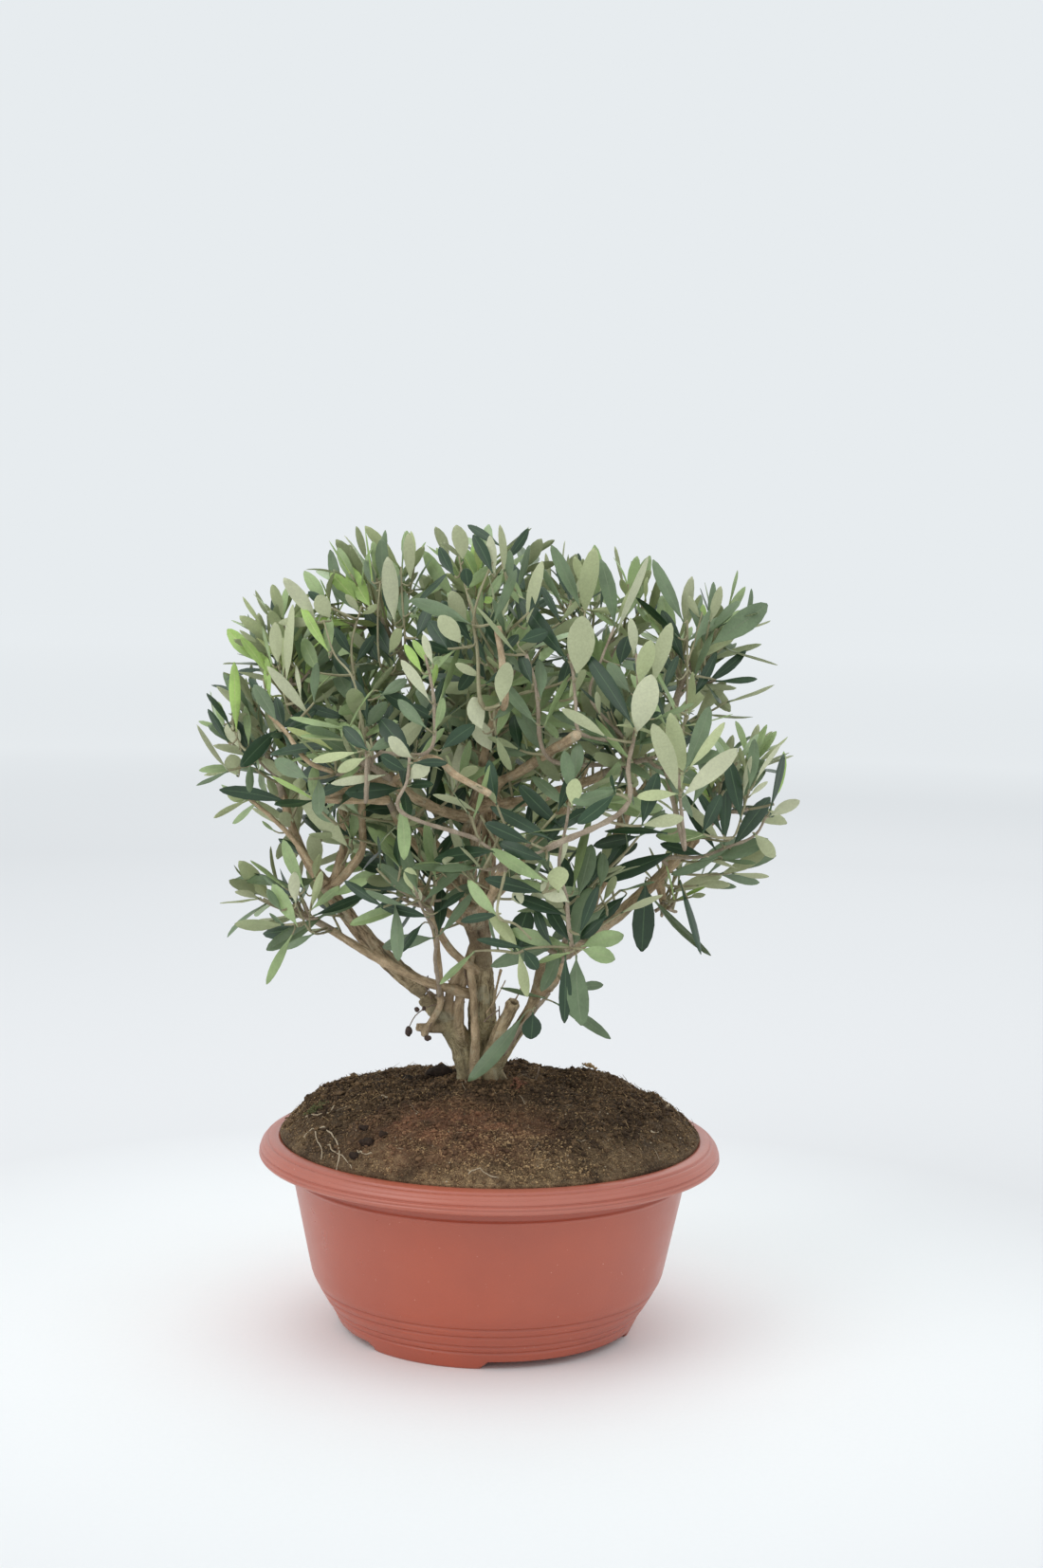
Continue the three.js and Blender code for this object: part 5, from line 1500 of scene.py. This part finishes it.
tints = {  # kinds of spray: upper side, under side, rib; share of the sprays. The deep kind is darker than old leaves alone, as painted shade for the crown's inside; the light kind is partly paler as painted sheen
    "leavesDeep": ((0.017, 0.043, 0.018), (0.31, 0.35, 0.19), (0.070, 0.120, 0.060), 0.36),
    "leavesGrey": ((0.112, 0.160, 0.082), (0.45, 0.48, 0.29), (0.17, 0.22, 0.125), 0.28),
    "leavesLight": ((0.22, 0.295, 0.128), (0.48, 0.53, 0.29), (0.30, 0.37, 0.18), 0.26),
    "leavesYoung": ((0.27, 0.40, 0.10), (0.46, 0.52, 0.22), (0.42, 0.50, 0.19), 0.03),
    "leavesPale": ((0.27, 0.35, 0.20), (0.56, 0.58, 0.39), (0.43, 0.46, 0.29), 0.07),
}

kinds = list(tints)
sprays = {kind: [] for kind in kinds}
twigStrands = {"twigsOld": [], "twigsYoung": []}
takenSpots = {}
frontSpots = []
for batch in placedLeaves.values():
    for x, y, z, tipX, tipY, tipZ, *_ in batch:
        for share in (0.35, 0.75):
            frontSpots.append(lerp((np.array([x, y, z]), np.array([tipX, tipY, tipZ])), share))
for corners, *_ in [limb for limb in bareLimbs + placedShoots if limb[1] > 1.6]:
    line = threaded(corners)
    frontSpots += [line.at(share) for share in np.linspace(0, 1, 6)]
frontSpots = np.array(frontSpots)
waiting = []
limbSamples = []
for line, radii in limbs.values():
    for share in np.linspace(0, 1, math.ceil(line.length / 2.5) + 1):
        limbSamples.append((*line.at(share), radiusAt(radii, share)))
for start, end, radii in knots:
    for share in np.linspace(0, 1, 11):
        limbSamples.append((*lerp((np.array(start, float), np.array(end, float)), share),
                            radiusAt(radii, share)))
limbSamples = np.array(limbSamples)
bearing = [(name, goal) for name, parent, at, goal, bow, radii in boughs if isinstance(goal, str)]


def clearOf(samples, start, end, halfWidth):
    line = end - start
    share = np.clip((samples[:, :3] - start) @ line / (line @ line), 0, 1)
    away = np.linalg.norm(start + share[:, None] * line - samples[:, :3], axis=1)
    return bool(np.all(away > samples[:, 3] + halfWidth + growth["clearance"]))


def depthIn(mass, point):  # 0 in the middle of a mass, 1 at its reach
    centre, reach = masses[mass]
    return np.linalg.norm((point - centre) / reach)


def inBox(point):
    return all(low / mm + 1 < value < high / mm - 1 for value, low, high in zip(point, *cadBox))


def uncrowded(root, along, length, apart):
    spots = [tuple(root + along * length * share) for share in (0.45, 0.65, 0.85)]
    for x, y, z in spots:
        near = [int(v // 4.0) for v in (x, y, z)]
        for step in product((-1, 0, 1), repeat=3):
            for other in takenSpots.get((near[0] + step[0], near[1] + step[1], near[2] + step[2]), ()):
                if (other[0] - x) ** 2 + (other[1] - y) ** 2 + (other[2] - z) ** 2 < apart ** 2:
                    return False
    for spot in spots:
        takenSpots.setdefault(tuple(int(v // 4.0) for v in spot), []).append(spot)
    return True


def inFront(point, reach=5.5):  # of one of the placed leaves or bare limbs
    off = point - frontSpots
    return bool(np.any((np.abs(off[:, 0]) < reach) & (np.abs(off[:, 2]) < reach) & (off[:, 1] < -2)))


def growLeaf(kind, root, along, face, length, width, random, bend=None):
    sprays[kind].append({
        "root": root, "along": along, "face": face, "length": length, "width": width,
        "bend": random.uniform(-0.3, 0.45) if bend is None else bend,
        "fold": random.uniform(0.04, 0.36) * (1 if bend is None else 0.6),
        "twist": random.uniform(-0.6, 0.6) * (1 if bend is None else 0.3),
        "wave": random.uniform(0, 0.35), "phase": random.uniform(0, 6.28),
        "sway": random.uniform(-0.12, 0.12),
    })


def planPairs(line, mass, kind, roll, pairs, lengths, lean, radius, limit=1.0):
    start = roll() * math.pi
    for pair in range(pairs):
        share = pair / max(pairs - 1, 1)
        place = lerp(growth["leafed"], share)
        heading = line.heading(place)
        angle = math.radians(lerp(lean, share))
        side = unit(np.cross(heading, [1.0, 0, 0] if abs(heading[2]) > 0.9 else up))
        side = turned(side, heading, start + pair * math.pi / 2)
        for hand in (1, -1):
            out = side * hand
            waiting.append({
                "kind": kind, "mass": mass, "limit": limit, "root": line.at(place) + out * radius * 0.4,
                "along": heading * math.cos(angle) + out * math.sin(angle),
                "face": heading * math.sin(angle) - out * math.cos(angle),
                "length": lerp(lengths, roll()) * (1 - 0.25 * share * (pairs > 1)),
            })


def settleLeaves(random):  # every waiting leaf that has room
    for leaf in waiting:
        root, along = leaf["root"], leaf["along"]
        if random.random() > growth["sparse"].get(leaf["mass"], 1):
            continue
        centre = masses[leaf["mass"]][0]
        light = unit(up + unit(np.array([centre[0], centre[1], 60.0])) * 0.5)
        face = leaf["face"] + light * lerp((0.0, 0.7), random.random())
        face = unit(face - along * (face @ along))
        samples = limbSamples[np.linalg.norm(limbSamples[:, :3] - root, axis=1) > growth["ownEnd"]]
        for cut in (1, 0.85, 0.7):
            length = leaf["length"] * cut
            tip = root + along * length
            if depthIn(leaf["mass"], tip) > leaf["limit"] or not clearOf(samples, root, tip, length * 0.1):
                continue
            if min(root[2], tip[2]) < np.interp(tip[0], *zip(*growth["lowEdge"])):
                break
            if not inBox(tip) or inFront(tip) or inFront(root + along * length * 0.55):
                break
            if not uncrowded(root, along, length, growth["apart"]):
                break
            growLeaf(leaf["kind"], root, along, face, length, lerp(leafForm["width"], random.random()),
                     random)
            break
    waiting.clear()


def addTwig(line, radii, kind, pairs=3):
    shares = np.linspace(0, 1, growth["twigSteps"])
    path = np.array([line.at(share) for share in shares])
    thick = radiusAt(radii, shares)
    for pair in range(pairs):  # a slight swelling where each pair of leaves stands
        knot = lerp(growth["leafed"], pair / max(pairs - 1, 1))
        thick = thick * (1 + 0.22 * np.exp(-((shares - knot) / 0.06) ** 2))
    twigStrands[kind].append((path, thick))


def pickKind(mass, random):
    shares = np.array([tints[kind][3] for kind in kinds])
    shares[0] *= 0.6 if "top" in mass or "upper" in mass else 1  # painted light: fewer of the dark kind up there, where more light falls
    # painted shade: fewer of the paler kinds in the low masses and the two front ones, so these are darker
    shares[2:] *= 0.35 if "low" in mass or mass in ("leaves_front", "leaves_front_right") else 1
    shares[3] += 0.10 * (mass in ("leaves_left_upper", "leaves_top_left"))
    return random.choice(kinds, p=shares / shares.sum())


def growStem(bough, mass, seed, random):
    line = limbs[bough][0]
    centre, reach = masses[mass]
    roll = dice(seed)
    heading = line.heading(1)
    foot = line.at(1) - heading * 1.0
    stemTip = centre + heading * growth["overshoot"] * reach[2]
    stem = arc(foot, foot + heading * np.linalg.norm(foot - stemTip) / 2, stemTip)
    samples = limbSamples[np.linalg.norm(limbSamples[:, :3] - foot, axis=1) > growth["ownEnd"]]
    addTwig(stem, growth["stemRadii"], "twigsOld")
    planPairs(stem, mass, pickKind(mass, random), roll, 3, (30, 40), (62, 28), 1.3)
    bearers = [stem]
    for i in range(growth["twigs"]):
        share = lerp(growth["along"], i / (growth["twigs"] - 1))
        azimuth = i * growth["goldenAngle"] + roll() * 0.8 + seed
        climb = lerp(growth["climb"], roll())
        out = unit(np.array([math.cos(azimuth), math.sin(azimuth), climb]))
        start, tip = stem.at(share), centre + out * reach * growth["spread"]
        if not (depthIn(mass, tip) <= 1 and clearOf(samples, start, tip, 1)):
            continue
        twig = bowed(start, tip, up * -growth["sag"])
        addTwig(twig, growth["twigRadii"], "twigsOld")
        planPairs(twig, mass, pickKind(mass, random), roll, 3, (27, 37), (62, 28), 0.9)
        bearers.append(twig)
    return bearers


def domeWay(point):  # the way a shoot climbs there, up and out from the head of the trunk
    return unit(unit(point - np.array([-5.0, 0.0, 175.0])) * 0.8 + up * 0.6)


def growShoot(start, heading, length, mass, roll, random, limit):
    samples = limbSamples[np.linalg.norm(limbSamples[:, :3] - start, axis=1) > growth["ownEnd"]]
    for cut in (1, 0.8, 0.6):
        tip = start + heading * length * cut
        if depthIn(mass, tip) > limit - 0.1 or not clearOf(samples, start, tip, 0.6) or inFront(tip, 2.5):
            continue
        side = unit(np.cross(heading, up) + 1e-6)
        shoot = bowed(start, tip, side * lerp((-1.5, 1.5), roll()) - domeWay(start) * 1.5)
        addTwig(shoot, growth["fineRadii"], "twigsYoung", growth["shootPairs"])
        planPairs(shoot, mass, pickKind(mass, random), roll, growth["shootPairs"], (24, 36), (58, 18), 0.6,
                  limit)
        return


def growShoots(bearers, mass, seed, random):  # finer twigs that climb through a mass
    centre, reach = masses[mass]
    roll = dice(seed + 500)
    for i in range(growth["shoots"]):
        start = bearers[i % len(bearers)].at(lerp((0.2, 1.0), roll()))
        heading = unit(domeWay(start) + unit(random.normal(size=3)) * 0.62 + (start - centre) / reach * 0.6)
        growShoot(start, heading, lerp(growth["shootLength"], roll()), mass, roll, random, 1.14)


def growSideShoots(seed, random):  # from the limbs between the masses
    roll = dice(seed)
    for name, (line, radii) in limbs.items():
        for share in np.arange(14, line.length, 8) / line.length:
            start, heading = line.at(share), line.heading(share)
            side = turned(unit(np.cross(heading, [0.3, 0.9, 0.2])), heading, roll() * 2 * math.pi)
            way = unit(side + domeWay(start) * 0.8)
            length = lerp((18, 34), roll())
            start = start + side * radiusAt(radii, share) * 0.6
            if start[2] < growth["lowestShoot"]:
                continue
            mass = min(masses, key=lambda name: depthIn(name, start + way * length))
            growShoot(start, way, length, mass, roll, random, 1.4)


def standShoots():  # the shoots in front, each led down to the nearest wood
    wood = [limbSamples[:, :3]] + [path for path, _ in twigStrands["twigsOld"]]
    wood = np.concatenate(wood)
    for corners, foot, tip in placedShoots:
        corners = np.array(corners, float)
        away = np.linalg.norm(wood - corners[0], axis=1) + 16 * (wood[:, 2] > corners[0][2] - 4)
        nearest = wood[away.argmin()]
        apart = np.linalg.norm(nearest - corners[0]) > 2
        line = threaded([nearest, *corners] if apart else corners)
        shares = np.linspace(0, 1, 26)
        path = np.array([line.at(share) for share in shares])
        knot = 1 + 0.3 * np.exp(-((shares * line.length / 9 % 1 - 0.5) / 0.12) ** 2)
        age = "twigsYoung" if tip <= 0.6 else "twigsOld"
        twigStrands[age].append((path, 0.8 * lerp((foot, tip), shares) * knot))


def dropBareEnds():  # of grown twigs, past the last leaf
    roots = [leaf["root"] for batch in sprays.values() for leaf in batch]
    roots = np.array(roots + [path[0] for batch in twigStrands.values() for path, _ in batch])
    for kind, batch in twigStrands.items():
        kept = []
        for path, thick in batch:
            if len(path) == growth["twigSteps"]:
                away = np.linalg.norm(roots[None] - path[:, None], axis=2).min(axis=1)
                leafed = np.flatnonzero(away < growth["nearTwig"])[1:]  # its own foot isn't counted
                last = leafed[-1] + 1 if len(leafed) else 0
                path, thick = path[:last], thick[:last]
            if len(path) > 2:
                kept.append((path, thick))
        twigStrands[kind] = kept


def takePlaces():  # keeps room for the leaves in front
    for batch in placedLeaves.values():
        for *ends, width, turn in batch:
            root, tip = np.array(ends[:3], float), np.array(ends[3:], float)
            uncrowded(root, unit(tip - root), np.linalg.norm(tip - root), 0)


def hangLeaves(random):  # the leaves seen in front, each led down to the nearest twig
    wood = [limbSamples[:, :3]] + [path for batch in twigStrands.values() for path, _ in batch]
    wood = np.concatenate(wood)
    low, high = np.array(cadBox[0]) / mm + 1.2, np.array(cadBox[1]) / mm - 1.2
    roll = dice(77)
    for kind, batch in placedLeaves.items():
        for *ends, width, turn in batch:
            root, tip = np.clip(ends[:3], low, high), np.clip(ends[3:], low, high)
            length = np.linalg.norm(tip - root)
            along = (tip - root) / length
            away = np.linalg.norm((wood - root) * [1.15, 1, 1.15], axis=1) + 6 * (wood[:, 2] > root[2] + 4)
            nearest = wood[away.argmin()]
            gap = np.linalg.norm(nearest - root)
            if gap > 10:  # a twig of its own
                twig = arc(nearest, (nearest + root) / 2 - along * gap * 0.1, root)
                addTwig(twig, (0.8, 0.5), "twigsYoung")
                mass = min(masses, key=lambda name: depthIn(name, root))
                planPairs(twig, mass, pickKind(mass, random), roll, 3, (22, 32), (60, 30), 0.6, 1.4)
                wood = np.concatenate([wood, [twig.at(share) for share in (0.3, 0.5, 0.7, 0.85, 1)]])
            elif gap > 0.6:
                stalk = arc(nearest, root - along * gap * 0.5, root)
                path = np.array([stalk.at(share) for share in np.linspace(0, 1, 6)])
                twigStrands["twigsYoung"].append((path, np.linspace(0.5, 0.38, 6)))
            front = np.array([0.0, -1.0, 0.15])
            face = turned(unit(front - along * (front @ along)), along, math.radians(turn))
            growLeaf(kind, root, along, face, length, 1.04 * width / length, random,
                     random.uniform(-0.12, 0.2))


def bladePoints(batch):  # corners of every leaf in a kind, worked out together
    read = lambda key: np.array([leaf[key] for leaf in batch])
    root, along, face = read("root"), read("along"), read("face")
    length, half = read("length"), read("length") * read("width") / 2
    across = np.cross(along, face)
    stations = np.array(leafForm["stations"])
    rows = []
    for u, wide, thick in zip(stations, leafForm["halfWidths"], leafForm["halfThickness"]):
        curl = read("bend") * u
        soft = np.where(np.abs(read("bend")) < 1e-3, 1e-3, read("bend"))
        forward, drop = length * np.sin(soft * u) / soft, length * (1 - np.cos(soft * u)) / soft
        swing = (read("sway") * length * u * u)[:, None]
        middle = root + along * forward[:, None] - face * drop[:, None] + across * swing
        normal = face * np.cos(curl)[:, None] + along * np.sin(curl)[:, None]
        twist = read("twist") * u
        sideways = across * np.cos(twist)[:, None] + normal * np.sin(twist)[:, None]
        normal = normal * np.cos(twist)[:, None] - across * np.sin(twist)[:, None]
        breadth = np.maximum(half * wide, 0.4 if u < 0.1 else 0.12)
        blade = float(u > 0.1)
        for v, lift in [(v, 1) for v in leafForm["topAcross"]] + [(v, -1) for v in leafForm["underAcross"]]:
            if u < 0.1:
                v = v * (1 if abs(v) > 0.9 else 1.6 if abs(v) < 0.1 else 1.2)
            rise = np.abs(v) * breadth * np.tan(read("fold")) * blade
            rise = rise + blade * 0.5 * read("wave") * np.sin(u * 11 + read("phase") + (v > 0) * 1.4) * v * v
            rise = rise - blade * 0.10 * breadth * abs(v) ** 5
            skin = thick * lift * (0 if abs(v) > 0.9 else 1)
            if abs(v) < 0.12 and lift < 0:
                skin -= 0.22 * blade * (1 - u)
            rows.append(middle + sideways * (v * breadth)[:, None] + normal * (rise + skin)[:, None])
    return np.stack(rows, axis=1)


def leafFaces():
    wide = len(leafForm["topAcross"])
    row = wide + len(leafForm["underAcross"])
    quads, slots, ends = [], [], []
    for station in range(len(leafForm["stations"]) - 1):
        a, b = station * row, (station + 1) * row
        stalk = station < 1
        for i in range(wide - 1):
            quads.append((a + i, a + i + 1, b + i + 1, b + i))
            slots.append(2 if i == wide // 2 - 1 or stalk else 0)
        under = [wide - 1, wide + 1, wide, 0]
        for i in range(3):
            quads.append((a + under[i], a + under[i + 1], b + under[i + 1], b + under[i]))
            slots.append(2 if stalk else 1)
    rim = [*range(wide), wide + 1, wide]
    last = (len(leafForm["stations"]) - 1) * row
    ends = [rim[::-1], [last + i for i in rim]]
    return np.array(quads), np.array(slots), np.array(ends), row * len(leafForm["stations"])


def leafSurface(name, colour, roughness, specular, shift=1.25, bump=0.0001):
    second = tuple(min(v * shift, 1) for v in colour)
    return mottled(name, colour, second, 55.0, 900.0, 0.10, roughness, bump, specular)


def makeLeaves():
    quads, slots, ends, size = leafFaces()
    for kind, batch in sprays.items():
        points = bladePoints(batch)
        count = len(batch)
        start = (np.arange(count) * size)[:, None, None]
        allQuads = (quads[None] + start).reshape(-1, 4)
        allEnds = (ends[None] + start).reshape(-1, ends.shape[1])
        mesh = meshFromArrays(kind, points.reshape(-1, 3), [allQuads, allEnds],
                              [np.tile(slots, count), np.full(len(allEnds), 2)])
        pairs = np.empty(len(mesh.edges) * 2, np.int32)
        mesh.edges.foreach_get("vertices", pairs)
        spot = pairs.reshape(-1, 2) % size % (len(leafForm["topAcross"]) + 2)
        margin = np.isin(spot, [0, len(leafForm["topAcross"]) - 1]).all(axis=1) & (spot[:, 0] == spot[:, 1])
        mesh.shade_smooth()
        mesh.attributes.new("sharp_edge", "BOOLEAN", "EDGE").data.foreach_set("value", margin)
        upper, under, rib, _ = tints[kind]
        materials = [leafSurface(kind + "Upper", upper, 0.38, 0.5, 1.5),
                     leafSurface(kind + "Under", under, 0.7, 0.3, 1.12),
                     leafSurface(kind + "Rib", rib, 0.5, 0.4, 1.1)]
        addPiece(kind, mesh, [], materials, smooth=False)
        print(kind, count)


leafDice = np.random.default_rng(7)
bearers = {}
for i, (bough, mass) in enumerate(bearing):
    bearers.setdefault(mass, []).extend(growStem(bough, mass, growth["firstSeed"] + i, leafDice))
standShoots()
takePlaces()
for i, (mass, lines) in enumerate(bearers.items()):
    growShoots(lines, mass, growth["firstSeed"] + i, leafDice)
growSideShoots(61, leafDice)
settleLeaves(leafDice)
dropBareEnds()
hangLeaves(leafDice)
settleLeaves(leafDice)
makeLeaves()
oldWood = mottled("twigOld", (0.44, 0.36, 0.27), (0.30, 0.235, 0.17), 140, 1500, 0.25, 0.75, 0.0003, 0.3)
youngWood = mottled("twigYoung", (0.36, 0.34, 0.20), (0.27, 0.235, 0.14), 140, 1500, 0.15, 0.6, 0.0001, 0.4)
addPiece("twigsOld", tubes("twigsOld", twigStrands["twigsOld"], 7), list(masses), [oldWood])
addPiece("twigsYoung", tubes("twigsYoung", twigStrands["twigsYoung"], 6), [], [youngWood])
print("twigs", len(twigStrands["twigsOld"]), len(twigStrands["twigsYoung"]))
